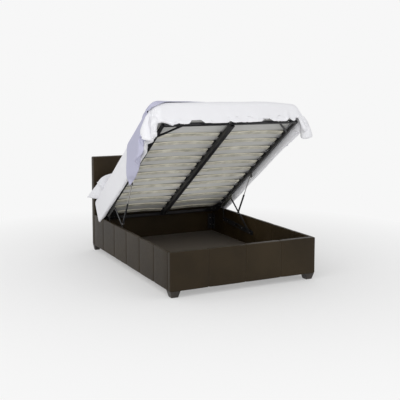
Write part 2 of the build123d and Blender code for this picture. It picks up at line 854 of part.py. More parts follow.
# Duvet: a cover ruled from outline to outline, its sides in folds, hollow where the mattress lies
duvet_span = deck_length + duvet_foot_overhang - duvet_head_inset
duvet_stations = (
    (0, 0, 0.5),
    (0.05, 0.5, 0),
    (0.15, -0.7, 0),
    (0.26, 0.8, 0),
    (0.36, -0.5, 0),
    (0.46, 0.6, 0),
    (0.56, -1, 0),
    (0.66, 0.9, 0),
    (0.76, -0.6, 0),
    (0.86, 0.7, 0),
    (0.95, -0.4, 0),
    (0.985, -1, 0.3),
    (1, -2.6, 1),
)
with BuildPart() as duvet_form:
    for share, fold, sink in duvet_stations:
        with BuildSketch(deck_across(duvet_head_inset + duvet_span * share)):
            add(cover_outline(0, duvet_fold * fold, duvet_sink * sink))
    loft(ruled=True)

with BuildPart() as duvet:
    add(duvet_form.part)
    with BuildSketch(deck_level(0)):
        with Locations((0, mattress_middle)):
            RectangleRounded(
                mattress_width + rest_gap * 2,
                mattress_length + rest_gap * 2,
                mattress_corner_radius,
            )
    extrude(amount=mattress_top + rest_gap, mode=Mode.SUBTRACT)
write(duvet.part, "duvet")

# Throw: a thin band laid over the duvet near the foot, hanging down both sides
with BuildPart() as throw:
    for share, fold, sink in duvet_stations:
        with BuildSketch(deck_across(duvet_head_inset + duvet_span * share)):
            add(cover_outline(throw_thickness, duvet_fold * fold, duvet_sink * sink))
    loft(ruled=True)
    with BuildSketch(deck_across(deck_length - throw_foot_inset - throw_length)):
        Rectangle(deck_length, deck_length)
    extrude(amount=throw_length, mode=Mode.INTERSECT)
    add(duvet_form.part, mode=Mode.SUBTRACT)
write(throw.part, "throw")


def pillow_outline(column, size_share):
    """Return a pillow's plan outline on the deck: four corners with the sides drawn in."""
    half_across = (half_width + pillow_side_overhang - pillow_inner_gap) / 2
    across = column * (pillow_inner_gap + half_across)
    run = -(pillow_head_run + pillow_depth / 2)
    left = across - half_across * size_share
    right = across + half_across * size_share
    head = run + pillow_depth / 2 * size_share
    foot = run - pillow_depth / 2 * size_share
    with BuildSketch(Plane.XY) as outline:
        with BuildLine():
            ThreePointArc((left, foot), (across, foot + pillow_draw_in), (right, foot))
            ThreePointArc((right, foot), (right - pillow_draw_in, run), (right, head))
            ThreePointArc((right, head), (across, head - pillow_draw_in), (left, head))
            ThreePointArc((left, head), (left + pillow_draw_in, run), (left, foot))
        make_face()
    return outline.sketch


# Pillows: crowned forms that rest on the duvet at the head
pillow_base = duvet_shoulder_height
pillow_rise = duvet_crown_height + pillow_height - pillow_base
pillow_levels = ((0, 0.8), (0.2, 0.93), (0.45, 1), (0.7, 0.93), (0.9, 0.74), (1, 0.5))
for side, column in sides:
    with BuildPart() as pillow:
        for level_share, size_share in pillow_levels:
            with BuildSketch(deck_level(pillow_base + pillow_rise * level_share)):
                add(pillow_outline(column, size_share))
        loft(ruled=True)
        add(duvet_form.part, mode=Mode.SUBTRACT)
    write(pillow.part, f"{side}_pillow")
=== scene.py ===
"""Looks of an ottoman storage bed: leather box, raised sprung deck and made-up bedding.

Every size is in metres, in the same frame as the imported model: the origin is on the floor under
the middle of the bed, +Y points to the headboard and +X to the right of someone at the foot end.
"""

import json
import logging
import math
from collections.abc import Sequence
from dataclasses import dataclass
from enum import Enum

import bmesh
import bpy
from mathutils import Matrix, Vector, noise

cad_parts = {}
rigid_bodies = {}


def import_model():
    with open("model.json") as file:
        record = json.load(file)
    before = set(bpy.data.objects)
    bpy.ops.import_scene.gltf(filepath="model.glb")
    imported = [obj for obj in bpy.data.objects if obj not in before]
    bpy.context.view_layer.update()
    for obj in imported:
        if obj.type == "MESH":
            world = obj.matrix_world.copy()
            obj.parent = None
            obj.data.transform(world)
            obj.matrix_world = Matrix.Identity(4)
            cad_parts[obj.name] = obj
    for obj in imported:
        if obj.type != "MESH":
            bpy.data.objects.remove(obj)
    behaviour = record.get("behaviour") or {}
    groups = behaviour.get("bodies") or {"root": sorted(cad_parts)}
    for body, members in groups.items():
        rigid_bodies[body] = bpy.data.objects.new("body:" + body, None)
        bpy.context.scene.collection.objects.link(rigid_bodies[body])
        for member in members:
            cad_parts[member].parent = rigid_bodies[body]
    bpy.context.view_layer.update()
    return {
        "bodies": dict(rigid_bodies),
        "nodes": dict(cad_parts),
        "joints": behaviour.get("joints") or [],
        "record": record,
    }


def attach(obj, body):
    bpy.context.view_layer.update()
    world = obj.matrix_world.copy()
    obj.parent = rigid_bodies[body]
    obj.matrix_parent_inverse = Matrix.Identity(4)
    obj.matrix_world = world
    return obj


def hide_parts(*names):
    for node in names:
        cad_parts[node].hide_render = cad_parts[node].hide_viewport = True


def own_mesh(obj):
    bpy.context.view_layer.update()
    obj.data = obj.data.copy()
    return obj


LOG = logging.getLogger("ottoman_bed")

Colour = tuple[float, float, float]
Triple = tuple[float, float, float]
Pair = tuple[float, float]

BANDS_PER_SCALE = 3.2
BEVEL = {"profile": 0.5, "affect": "EDGES", "material": -1}


# Finishes


class Graph:
    """The node tree of one material, with short calls for adding and joining its nodes."""

    def __init__(self, name: str) -> None:
        """Start a material.

        Args:
            name: The material's name.
        """
        self.material = bpy.data.materials.new(name)
        self.material.use_nodes = True
        self.tree = self.material.node_tree
        self.shader = self.tree.nodes["Principled BSDF"]

    def add(self, kind: str, **settings: object) -> bpy.types.Node:
        """Add a node.

        Args:
            kind: The node's type name.
            settings: Properties of the node by name.

        Returns:
            The new node.
        """
        node = self.tree.nodes.new(kind)
        for key, value in settings.items():
            setattr(node, key, value)
        return node

    def join(self, source: bpy.types.NodeSocket, target: bpy.types.NodeSocket) -> None:
        """Join an output socket to an input socket."""
        self.tree.links.new(source, target)

    def set(self, **values: object) -> None:
        """Set the shader's own sockets, given by name with underscores for spaces."""
        for key, value in values.items():
            self.shader.inputs[key.replace("_", " ")].default_value = value

    def point(
        self,
        scale: Triple = (1.0, 1.0, 1.0),
        by_uv: bool = False,
    ) -> bpy.types.NodeSocket:
        """Return pattern coordinates.

        Args:
            scale: Stretch of the pattern along each axis.
            by_uv: Whether to read the piece's own UV map instead of Object coordinates.

        Returns:
            The vector socket to feed a texture.
        """
        coordinates = self.add("ShaderNodeTexCoord")
        mapping = self.add("ShaderNodeMapping")
        mapping.inputs["Scale"].default_value = scale
        self.join(coordinates.outputs["UV" if by_uv else "Object"], mapping.inputs["Vector"])
        return mapping.outputs["Vector"]

    def cloud(
        self, point: bpy.types.NodeSocket, scale: float, detail: float = 3.0, rough: float = 0.5
    ) -> bpy.types.NodeSocket:
        """Return a soft noise value.

        Args:
            point: Pattern coordinates.
            scale: Clouds per metre.
            detail: Octaves of the noise.
            rough: Strength of the finer octaves.

        Returns:
            The value socket.
        """
        node = self.add("ShaderNodeTexNoise")
        node.inputs["Scale"].default_value = scale
        node.inputs["Detail"].default_value = detail
        node.inputs["Roughness"].default_value = rough
        self.join(point, node.inputs["Vector"])
        return node.outputs["Fac"]

    def ramp(
        self, value: bpy.types.NodeSocket, stops: tuple[tuple[float, Colour], ...]
    ) -> bpy.types.NodeSocket:
        """Return a colour that runs through the stops as the value rises.

        Args:
            value: The value to map.
            stops: Pairs of position and linear RGB colour.

        Returns:
            The colour socket.
        """
        node = self.add("ShaderNodeValToRGB")
        elements = node.color_ramp.elements
        while len(elements) < len(stops):
            elements.new(0.5)
        for element, (place, colour) in zip(elements, stops):
            element.position = place
            element.color = (*colour, 1.0)
        self.join(value, node.inputs["Fac"])
        return node.outputs["Color"]

    def span(
        self,
        value: bpy.types.NodeSocket,
        low: float,
        high: float,
        start: float = 0.3,
        end: float = 0.7,
    ) -> bpy.types.NodeSocket:
        """Stretch a value from start..end to low..high.

        Args:
            value: The value to map.
            low: What start becomes.
            high: What end becomes.
            start: Lower end of the value.
            end: Upper end of the value.

        Returns:
            The value socket.
        """
        node = self.add("ShaderNodeMapRange")
        ends = {"From Min": start, "From Max": end, "To Min": low, "To Max": high}
        for key, number in ends.items():
            node.inputs[key].default_value = number
        self.join(value, node.inputs["Value"])
        return node.outputs["Result"]

    def bands(
        self, point: bpy.types.NodeSocket, scale: float, axis: str = "X", distortion: float = 0.0
    ) -> bpy.types.NodeSocket:
        """Return evenly spaced soft bands.

        Args:
            point: Pattern coordinates.
            scale: Bands per metre, about.
            axis: The axis that the bands follow one another along.
            distortion: How much the bands wander.

        Returns:
            The value socket.
        """
        node = self.add("ShaderNodeTexWave", bands_direction=axis)
        node.inputs["Scale"].default_value = scale / BANDS_PER_SCALE
        node.inputs["Distortion"].default_value = distortion
        node.inputs["Detail"].default_value = 1.0
        self.join(point, node.inputs["Vector"])
        return node.outputs["Fac"]

    def tint(
        self, value: bpy.types.NodeSocket, stops: tuple[tuple[float, Colour], ...]
    ) -> None:
        """Colour the surface by a value, through the stops of a ramp."""
        self.join(self.ramp(value, stops), self.shader.inputs["Base Color"])

    def gloss(self, value: bpy.types.NodeSocket, low: float, high: float) -> None:
        """Vary the roughness between low and high by a value."""
        self.join(self.span(value, low, high), self.shader.inputs["Roughness"])

    def bump(self, *layers: tuple[bpy.types.NodeSocket, float, float]) -> None:
        """Raise the surface by one or more height patterns.

        Args:
            layers: Each a height socket, a strength and a height in metres.
        """
        previous = None
        for height, strength, distance in layers:
            node = self.add("ShaderNodeBump")
            node.inputs["Strength"].default_value = strength
            node.inputs["Distance"].default_value = distance
            self.join(height, node.inputs["Height"])
            if previous is not None:
                self.join(previous, node.inputs["Normal"])
            previous = node.outputs["Normal"]
        self.join(previous, self.shader.inputs["Normal"])


@dataclass(frozen=True)
class Leather:
    """Dark brown grained upholstery leather with faint wear and soft creases."""

    name: str = "brown_leather"
    dark: Colour = (0.017, 0.0105, 0.0035)
    light: Colour = (0.031, 0.0205, 0.0085)
    wear: float = 2.6
    grain: float = 620.0
    pores: float = 170.0
    creases: float = 16.0

    def build(self) -> bpy.types.Material:
        """Build the material.

        Returns:
            The material.
        """
        graph = Graph(self.name)
        point = graph.point()
        wear = graph.cloud(point, self.wear, 4.0)
        graph.tint(wear, ((0.3, self.dark), (0.72, self.light)))
        cells = graph.add("ShaderNodeTexVoronoi")
        cells.inputs["Scale"].default_value = self.grain
        graph.join(point, cells.inputs["Vector"])
        pores = graph.cloud(point, self.pores, 4.0)
        creases = graph.cloud(graph.point((1.0, 1.0, 0.35)), self.creases, 5.0, 0.6)
        graph.gloss(pores, 0.4, 0.56)
        graph.set(Specular_IOR_Level=0.2)
        graph.bump(
            (creases, 0.35, 0.0012),
            (cells.outputs["Distance"], 0.5, 0.00022),
            (pores, 0.25, 0.0002),
        )
        return graph.material


@dataclass(frozen=True)
class Thread:
    """Waxed sewing thread."""

    name: str = "brown_thread"
    dark: Colour = (0.05, 0.038, 0.025)
    light: Colour = (0.09, 0.07, 0.05)
    twist: float = 900.0

    def build(self) -> bpy.types.Material:
        """Build the material.

        Returns:
            The material.
        """
        graph = Graph(self.name)
        twist = graph.cloud(graph.point(), self.twist, 2.0)
        graph.tint(twist, ((0.35, self.dark), (0.65, self.light)))
        graph.set(Roughness=0.55)
        graph.bump((twist, 0.4, 0.0002))
        return graph.material


@dataclass(frozen=True)
class Coated:
    """Powder-coated or moulded surface: one deep colour with a fine orange peel."""

    name: str
    colour: Colour
    roughness: float = 0.42
    peel: float = 420.0
    height: float = 0.00018
    haze: float = 9.0

    def build(self) -> bpy.types.Material:
        """Build the material.

        Returns:
            The material.
        """
        graph = Graph(self.name)
        point = graph.point()
        peel = graph.cloud(point, self.peel, 2.0)
        haze = graph.cloud(point, self.haze, 4.0)
        lighter = tuple(min(1.0, channel * 1.5 + 0.003) for channel in self.colour)
        graph.tint(haze, ((0.35, self.colour), (0.75, lighter)))
        graph.gloss(haze, self.roughness - 0.06, self.roughness + 0.1)
        graph.bump((peel, 0.5, self.height))
        return graph.material


@dataclass(frozen=True)
class ZincPlate:
    """Bright zinc plate with a faint spangle."""

    name: str = "zinc_plate"
    dark: Colour = (0.46, 0.46, 0.45)
    light: Colour = (0.66, 0.66, 0.64)
    spangle: float = 160.0
    haze: float = 60.0

    def build(self) -> bpy.types.Material:
        """Build the material.

        Returns:
            The material.
        """
        graph = Graph(self.name)
        point = graph.point()
        spangle = graph.add("ShaderNodeTexVoronoi")
        spangle.inputs["Scale"].default_value = self.spangle
        graph.join(point, spangle.inputs["Vector"])
        graph.tint(spangle.outputs["Distance"], ((0.0, self.dark), (0.8, self.light)))
        graph.gloss(graph.cloud(point, self.haze), 0.28, 0.46)
        graph.set(Metallic=1.0)
        return graph.material


@dataclass(frozen=True)
class ChromeRod:
    """Hard-chromed ground rod."""

    name: str = "chrome_rod"
    colour: Colour = (0.5, 0.49, 0.47)
    scratches: float = 90.0

    def build(self) -> bpy.types.Material:
        """Build the material.

        Returns:
            The material.
        """
        graph = Graph(self.name)
        scratches = graph.cloud(graph.point((1.0, 1.0, 30.0)), self.scratches)
        graph.gloss(scratches, 0.08, 0.2)
        graph.set(Metallic=1.0, Base_Color=(*self.colour, 1.0))
        return graph.material


@dataclass(frozen=True)
class Wood:
    """Timber or laminate with its grain along one axis."""

    name: str
    dark: Colour
    light: Colour
    grain: Triple = (1.0, 22.0, 22.0)
    roughness: float = 0.55
    streaks: float = 5.0
    blotches: float = 11.0
    streak_share: float = 0.6
    blotch_share: float = 0.45

    def build(self) -> bpy.types.Material:
        """Build the material.

        Returns:
            The material.
        """
        graph = Graph(self.name)
        streaks = graph.cloud(graph.point(self.grain), self.streaks, 6.0, 0.62)
        blotches = graph.cloud(graph.point(), self.blotches, 3.0)
        mixed = graph.add("ShaderNodeMath", operation="MULTIPLY_ADD")
        mixed.inputs[1].default_value = self.blotch_share
        graph.join(blotches, mixed.inputs[0])
        scaled = graph.add("ShaderNodeMath", operation="MULTIPLY")
        scaled.inputs[1].default_value = self.streak_share
        graph.join(streaks, scaled.inputs[0])
        graph.join(scaled.outputs["Value"], mixed.inputs[2])
        graph.tint(mixed.outputs["Value"], ((0.38, self.dark), (0.66, self.light)))
        graph.gloss(streaks, self.roughness - 0.08, self.roughness + 0.12)
        graph.bump((streaks, 0.35, 0.0004))
        return graph.material


@dataclass(frozen=True)
class Cloth:
    """Woven fabric: a fine weave, optional ribs, and a soft sheen."""

    name: str
    dark: Colour
    light: Colour
    weave: float = 700.0
    mottle: float = 5.0
    ribs: float = 0.0
    rib_height: float = 0.0
    quilt: float = 0.0
    crease: float = 7.0
    crease_height: float = 0.004
    sheen: float = 0.25

    def build(self) -> bpy.types.Material:
        """Build the material.

        Returns:
            The material.
        """
        graph = Graph(self.name)
        point = graph.point(by_uv=True)
        solid = graph.point()
        mottle = graph.cloud(solid, self.mottle, 4.0)
        warp = graph.bands(point, self.weave, "X")
        weft = graph.bands(point, self.weave, "Y")
        woven = graph.add("ShaderNodeMath", operation="MULTIPLY")
        graph.join(warp, woven.inputs[0])
        graph.join(weft, woven.inputs[1])
        layers = [(graph.cloud(solid, self.crease, 5.0, 0.55), 0.5, self.crease_height)]
        shade = mottle
        if self.ribs:
            rib = graph.bands(point, self.ribs, "Y", 0.6)
            layers.append((rib, 0.6, self.rib_height))
            # The ribs also tint the colour: lighter on their ridges and darker in their grooves,
            # painted shade, mixed with the random mottle of the cloth.
            mottle_and_rib_shade = graph.add("ShaderNodeMath", operation="MULTIPLY_ADD")
            mottle_and_rib_shade.inputs[1].default_value = 0.35
            graph.join(rib, mottle_and_rib_shade.inputs[0])
            graph.join(mottle, mottle_and_rib_shade.inputs[2])
            shade = graph.span(mottle_and_rib_shade.outputs["Value"], 0.0, 1.0, 0.35, 0.95)
        if self.quilt:
            turned = graph.add("ShaderNodeVectorRotate", rotation_type="Z_AXIS")
            turned.inputs["Angle"].default_value = math.radians(45.0)
            graph.join(point, turned.inputs["Vector"])
            lines = graph.add("ShaderNodeMath", operation="MINIMUM")
            for index, axis in enumerate("XY"):
                wave = graph.bands(turned.outputs["Vector"], self.quilt, axis)
                graph.join(graph.span(wave, 0.0, 1.0, 0.0, 0.16), lines.inputs[index])
            layers.append((lines.outputs["Value"], 0.8, 0.003))
        layers.append((woven.outputs["Value"], 0.35, 0.00022))
        graph.tint(shade, ((0.25, self.dark), (0.75, self.light)))
        graph.set(Roughness=0.88, Specular_IOR_Level=0.25)
        graph.set(Sheen_Weight=self.sheen, Sheen_Roughness=0.5)
        graph.bump(*layers)
        return graph.material


class Finish(Enum):
    """Every finish on the bed, with the material slot that it belongs to."""

    LEATHER = ("leather_brown", Leather())
    THREAD = ("leather_brown", Thread())
    BLACK_STEEL = ("black_steel", Coated("black_powder_coat", (0.0105, 0.0105, 0.012), 0.4))
    ZINC = ("zinc_steel", ZincPlate())
    # The slats' beech comes as a lit and a shaded copy: a greyer one for the faces, painted shade,
    # and a paler cream one for the edges facing the foot and the head, painted highlight.
    SLAT_FACE = (
        "beech",
        Wood("beech_face", (0.33, 0.315, 0.25), (0.74, 0.715, 0.62), (1.0, 26.0, 26.0)),
    )
    SLAT_EDGE = ("beech", Wood("beech_edge", (0.72, 0.68, 0.53), (0.9, 0.87, 0.74)))
    CAP = ("cap_rubber", Coated("cap_rubber", (0.009, 0.009, 0.009), 0.62, 900.0, 0.0001))
    STRUT = ("strut_black", Coated("strut_paint", (0.007, 0.007, 0.008), 0.3, 300.0, 0.00006))
    ROD = ("strut_chrome", ChromeRod())
    EYE = ("socket_plastic", Coated("moulded_eye", (0.012, 0.012, 0.012), 0.5))
    BOARD = ("floor_board", Wood("floor_board", (0.035, 0.029, 0.022), (0.075, 0.062, 0.048)))
    TIMBER = ("pine_board", Wood("raw_timber", (0.36, 0.25, 0.14), (0.58, 0.43, 0.27)))
    FOOT = (
        "foot_wood",
        Wood("stained_foot", (0.012, 0.009, 0.007), (0.03, 0.022, 0.016), (18.0, 18.0, 1.0), 0.4),
    )
    LEG = ("leg_plastic", Coated("moulded_leg", (0.015, 0.015, 0.015), 0.55))
    TICKING = (
        "mattress_ticking",
        Cloth("mattress_ticking", (0.46, 0.455, 0.43), (0.66, 0.655, 0.63), 500.0, quilt=9.0),
    )
    COTTON = ("white_cotton", Cloth("white_cotton", (0.72, 0.725, 0.76), (0.82, 0.82, 0.85), 800.0))
    PILLOW = (
        "pillow_cotton",
        Cloth("pillow_cotton", (0.70, 0.70, 0.73), (0.81, 0.81, 0.83), 800.0, crease=10.0),
    )
    THROW = (
        "lavender_wool",
        Cloth(
            "lavender_wool",
            (0.33, 0.325, 0.455),
            (0.46, 0.455, 0.60),
            420.0,
            ribs=62.0,
            rib_height=0.0014,
            crease_height=0.003,
            sheen=0.4,
        ),
    )

    @property
    def slot(self) -> str:
        """The record's material slot."""
        return self.value[0]

    def material(self) -> bpy.types.Material:
        """Return the finish's material, which is built once."""
        finish = self.value[1]
        return bpy.data.materials.get(finish.name) or finish.build()


# Shared shapes


@dataclass(frozen=True)
class DeckPlane:
    """The raised deck's own axes: x across, y towards the head, z square to its underside."""

    head_y: float = 0.7789882
    head_z: float = 0.3389735
    tilt: float = math.radians(34.0)

    def matrix(self) -> Matrix:
        """Return the matrix from the deck's own axes to the bed's."""
        place = Matrix.Translation((0.0, self.head_y, self.head_z))
        return place @ Matrix.Rotation(-self.tilt, 4, "X")


DECK = DeckPlane()


def flat_uv(bm: bmesh.types.BMesh) -> None:
    """Give every face a UV map in metres, seen square to the way it faces.

    Args:
        bm: The shape.
    """
    layer = bm.loops.layers.uv.verify()
    for face in bm.faces:
        normal = face.normal
        axis = max(range(3), key=lambda index: abs(normal[index]))
        first, second = [index for index in range(3) if index != axis]
        for loop in face.loops:
            loop[layer].uv = (loop.vert.co[first], loop.vert.co[second])


def piece(
    bm: bmesh.types.BMesh,
    name: str,
    body: str,
    finishes: tuple[Finish, ...],
    replaced: tuple[str, ...] = (),
    place: Matrix | None = None,
    smooth: bool = True,
) -> bpy.types.Object:
    """Turn a bmesh into a finished piece that rides on a body.

    Args:
        bm: The shape, freed afterwards.
        name: The piece's name.
        body: The body it moves with.
        finishes: Its finishes, by material index.
        replaced: The CAD nodes that it stands for.
        place: Where the shape goes, or None when it is in place.
        smooth: Whether its faces are shaded smooth.

    Returns:
        The object.
    """
    if place is not None:
        bmesh.ops.transform(bm, matrix=place, verts=bm.verts)
    mesh = bpy.data.meshes.new(name)
    bm.to_mesh(mesh)
    bm.free()
    mesh.polygons.foreach_set("use_smooth", [smooth] * len(mesh.polygons))
    made = bpy.data.objects.new(name, mesh)
    bpy.context.scene.collection.objects.link(made)
    for finish in finishes:
        mesh.materials.append(finish.material())
    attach(made, body)
    if replaced:
        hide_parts(*replaced)
    return made


def rounded_box(low: Vector, high: Vector, radius: float, segments: int = 4) -> bmesh.types.BMesh:
    """Return a box with rounded edges.

    Args:
        low: Its lowest corner.
        high: Its highest corner.
        radius: Radius of the edges.
        segments: Faces round each edge.

    Returns:
        The shape.
    """
    bm = bmesh.new()
    bmesh.ops.create_cube(bm, size=1.0)
    bmesh.ops.scale(bm, vec=high - low, verts=bm.verts)
    bmesh.ops.translate(bm, vec=(low + high) / 2, verts=bm.verts)
    bmesh.ops.bevel(bm, geom=bm.edges[:], offset=radius, segments=segments, **BEVEL)
    return bm


def cut_at(bm: bmesh.types.BMesh, axis: int, places: Sequence[float]) -> None:
    """Cut a shape by planes square to an axis, without opening it.

    Args:
        bm: The shape.
        axis: 0, 1 or 2 for X, Y or Z.
        places: Where along the axis the planes lie.
    """
    normal = Vector([1.0 if index == axis else 0.0 for index in range(3)])
    for place in places:
        bmesh.ops.bisect_plane(
            bm,
            geom=bm.verts[:] + bm.edges[:] + bm.faces[:],
            plane_co=normal * place,
            plane_no=normal,
        )


# The upholstered box


@dataclass
class LeatherPanel:
    """One upholstered board: a leather block with sewn seams and soft padding between them."""

    name: str
    low: Triple
    high: Triple
    replaced: tuple[str, ...]
    seam_axis: int = 0
    seams: tuple[float, ...] = ()
    outward: Triple = (0.0, -1.0, 0.0)
    radius: float = 0.009
    groove: float = 0.0032
    groove_reach: float = 0.0032
    hollow: float = 0.0022
    hollow_reach: float = 0.028
    ripple: float = 0.0005
    cuts_by_seam: tuple[float, ...] = (0.0, 0.0016, 0.0032, 0.006, 0.011, 0.02, 0.036, 0.06)
    column_width: float = 0.11
    rows: int = 14
    stitch_gap: float = 0.0075
    stitch_pitch: float = 0.009
    stitch_size: Pair = (0.0026, 0.0007)

    def dent(self, co: Vector) -> float:
        """Work out how far the leather is drawn in at a point.

        Args:
            co: The point on the plain block.

        Returns:
            The depth in metres.
        """
        depth = 0.0
        for seam in self.seams:
            away = abs(co[self.seam_axis] - seam)
            pucker = 1.0 + 0.5 * noise.noise(Vector((seam * 31.0, co.z * 38.0, 0.0)))
            depth += self.groove * math.exp(-((away / self.groove_reach) ** 2))
            depth += self.hollow * pucker * math.exp(-away / self.hollow_reach)
        wave = noise.noise(Vector((co.x * 5.0, co.y * 5.0, co.z * 9.0)) + Vector((7.1, 3.3, 1.7)))
        return depth + self.ripple * (1.0 + wave)

    def build(self) -> bpy.types.Object:
        """Build the panel, and its stitches beside it.

        Returns:
            The panel's piece.
        """
        low, high = Vector(self.low), Vector(self.high)
        bm = rounded_box(low, high, self.radius, 5)
        away = {side * step for step in self.cuts_by_seam for side in (-1, 1)}
        places = {seam + step for seam in self.seams for step in away}
        length = high[self.seam_axis] - low[self.seam_axis]
        count = max(4, round(length / self.column_width))
        places |= {low[self.seam_axis] + length * index / count for index in range(1, count)}
        cut_at(bm, self.seam_axis, sorted(places))
        height = high.z - low.z
        cut_at(bm, 2, [low.z + height * row / self.rows for row in range(1, self.rows)])
        bm.normal_update()
        for vert in bm.verts:
            vert.co -= vert.normal * self.dent(vert.co)
        flat_uv(bm)
        made = piece(bm, self.name, "base", (Finish.LEATHER,), self.replaced)
        if self.seams:
            self.stitch()
        return made

    def stitch(self) -> bpy.types.Object:
        """Build the rows of stitches on both sides of every seam.

        Returns:
            The stitches' piece.
        """
        bm = bmesh.new()
        out = Vector(self.outward)
        axis = max(range(3), key=lambda index: abs(out[index]))
        face = self.high[axis] if out[axis] > 0 else self.low[axis]
        half_length, half_width = self.stitch_size
        start, end = self.low[2] + self.radius, self.high[2] - self.radius
        count = int((end - start) / self.stitch_pitch)
        for seam in self.seams:
            for side in (-1, 1):
                for index in range(count):
                    spot = Vector((0.0, 0.0, start + self.stitch_pitch * (index + 0.5)))
                    spot[self.seam_axis] = seam + side * self.stitch_gap
                    spot[axis] = face
                    spot -= out * (self.dent(spot) - half_width * 0.25)
                    size = Matrix.Diagonal((half_width, half_width, half_length, 1.0))
                    bmesh.ops.create_icosphere(
                        bm, subdivisions=1, radius=1.0, matrix=Matrix.Translation(spot) @ size
                    )
        return piece(bm, f"{self.name}_stitches", "base", (Finish.THREAD,))


@dataclass
class LeatherBox:
    """The upholstered box: headboard, footboard and two side rails."""

    half_width: float = 0.715
    foot: float = -1.025
    head: float = 1.025
    bottom: float = 0.055
    top: float = 0.384
    headboard_top: float = 0.995
    headboard_depth: float = 0.08
    footboard_depth: float = 0.06
    rail_depth: float = 0.03
    footboard_panels: int = 4
    rail_panels: int = 6
    seam_end_margin: float = 0.026

    def panels(self) -> list[LeatherPanel]:
        """Set out the four panels.

        Returns:
            Headboard, footboard, left rail and right rail.
        """
        inner_foot = self.foot + self.footboard_depth
        inner_head = self.head - self.headboard_depth
        foot_pitch = 2 * self.half_width / self.footboard_panels
        foot_seams = tuple(
            -self.half_width + foot_pitch * i for i in range(1, self.footboard_panels)
        )
        rail_pitch = (self.head - self.foot - 2 * self.seam_end_margin) / self.rail_panels
        start = self.foot + self.seam_end_margin
        rail_seams = tuple(start + rail_pitch * i for i in range(1, self.rail_panels))
        made = [
            LeatherPanel(
                "headboard_leather",
                (-self.half_width, inner_head, self.bottom),
                (self.half_width, self.head, self.headboard_top),
                ("headboard_cover", "headboard_core", "headboard_padding"),
                radius=0.012,
            ),
            LeatherPanel(
                "footboard_leather",
                (-self.half_width, self.foot, self.bottom),
                (self.half_width, inner_foot, self.top),
                ("footboard_cover", "footboard_core"),
                seams=foot_seams,
            ),
        ]
        for side, sign in (("left", -1), ("right", 1)):
            across = sorted((sign * (self.half_width - self.rail_depth), sign * self.half_width))
            made.append(
                LeatherPanel(
                    f"{side}_rail_leather",
                    (across[0], inner_foot, self.bottom),
                    (across[1], inner_head, self.top),
                    (f"{side}_rail_cover", f"{side}_rail_core"),
                    seam_axis=1,
                    seams=rail_seams,
                    outward=(float(sign), 0.0, 0.0),
                    radius=0.006,
                )
            )
        return made

    def build(self) -> list[bpy.types.Object]:
        """Build every panel and return the pieces."""
        return [panel.build() for panel in self.panels()]


# The deck's slats


@dataclass
class SlatBank:
    """One column of sprung slats: bowed boards whose faces carry a greyer copy of the beech,
    painted shade, and whose edges towards the foot and the head carry a paler cream copy, painted
    highlight.
    """

    side: str
    column: int
    count: int = 12
    pitch: float = 0.1435
    first_run: float = 0.048
    width: float = 0.053
    thickness: float = 0.008
    rise: float = 0.013
    lift: float = 0.0425
    inner_end: float = 0.005
    outer_end: float = 0.667
    edge: float = 0.0018
    segments: int = 18

    def ends(self) -> Pair:
        """Return where the slats start and end across the bed."""
        low, high = sorted((self.column * self.inner_end, self.column * self.outer_end))
        return low, high

    def board(self, bm: bmesh.types.BMesh, run: float) -> None:
        """Add one straight board with softened long edges to the shape.

        Args:
            bm: The shape.
            run: How far its head-facing edge lies from the deck's head.
        """
        low, high = self.ends()
        middle, half = (low + high) / 2, (high - low) / 2
        made = bmesh.ops.create_cube(bm, size=1.0)["verts"]
        bmesh.ops.scale(bm, vec=(high - low, self.width, self.thickness), verts=made)
        centre = Vector((middle, -(run + self.width / 2), self.lift + self.thickness / 2))
        bmesh.ops.translate(bm, vec=centre, verts=made)
        edges = {edge for vert in made for edge in vert.link_edges}
        long = [e for e in edges if abs(e.verts[0].co.x - e.verts[1].co.x) > half]
        bmesh.ops.bevel(bm, geom=long, offset=self.edge, segments=2, **BEVEL)

    def build(self) -> bpy.types.Object:
        """Build the bank: every board, bowed upwards in its middle.

        Returns:
            The bank's piece.
        """
        bm = bmesh.new()
        for index in range(self.count):
            self.board(bm, self.first_run + self.pitch * index)
        low, high = self.ends()
        step = (high - low) / self.segments
        cut_at(bm, 0, [low + step * index for index in range(1, self.segments)])
        middle, half = (low + high) / 2, (high - low) / 2
        bm.normal_update()
        for face in bm.faces:
            # Faces turned to the foot or the head take the paler edge copy of the beech, a painted
            # highlight; all others take the greyer face copy, painted shade.
            face.material_index = 1 if abs(face.normal.y) > 0.6 else 0
        for vert in bm.verts:
            share = (vert.co.x - middle) / half
            vert.co.z += self.rise * (1.0 - share * share)
        flat_uv(bm)
        return piece(
            bm,
            f"{self.side}_slat_boards",
            "platform",
            (Finish.SLAT_FACE, Finish.SLAT_EDGE),
            (f"{self.side}_slats",),
            DECK.matrix(),
            smooth=False,
        )


@dataclass
class FootRailScrews:
    """Round-headed screws on the outer face of the deck's foot rail, in pairs at its joints."""

    across: tuple[float, ...] = (-0.574, -0.468, -0.034, 0.034, 0.468, 0.574)
    face_run: float = 1.894
    lift: float = 0.026
    radius: float = 0.0055
    crown: float = 0.0026

    def build(self) -> bpy.types.Object:
        """Build the six domed heads.

        Returns:
            The screws' piece.
        """
        bm = bmesh.new()
        for x in self.across:
            spot = Matrix.Translation((x, -self.face_run, self.lift))
            shape = Matrix.Diagonal((self.radius, self.crown, self.radius, 1.0))
            turned = Matrix.Rotation(math.radians(90.0), 4, "X")
            bmesh.ops.create_uvsphere(
                bm, u_segments=20, v_segments=10, radius=1.0, matrix=spot @ shape @ turned
            )
        return piece(bm, "foot_rail_screws", "platform", (Finish.ZINC,), (), DECK.matrix())


# Bedding


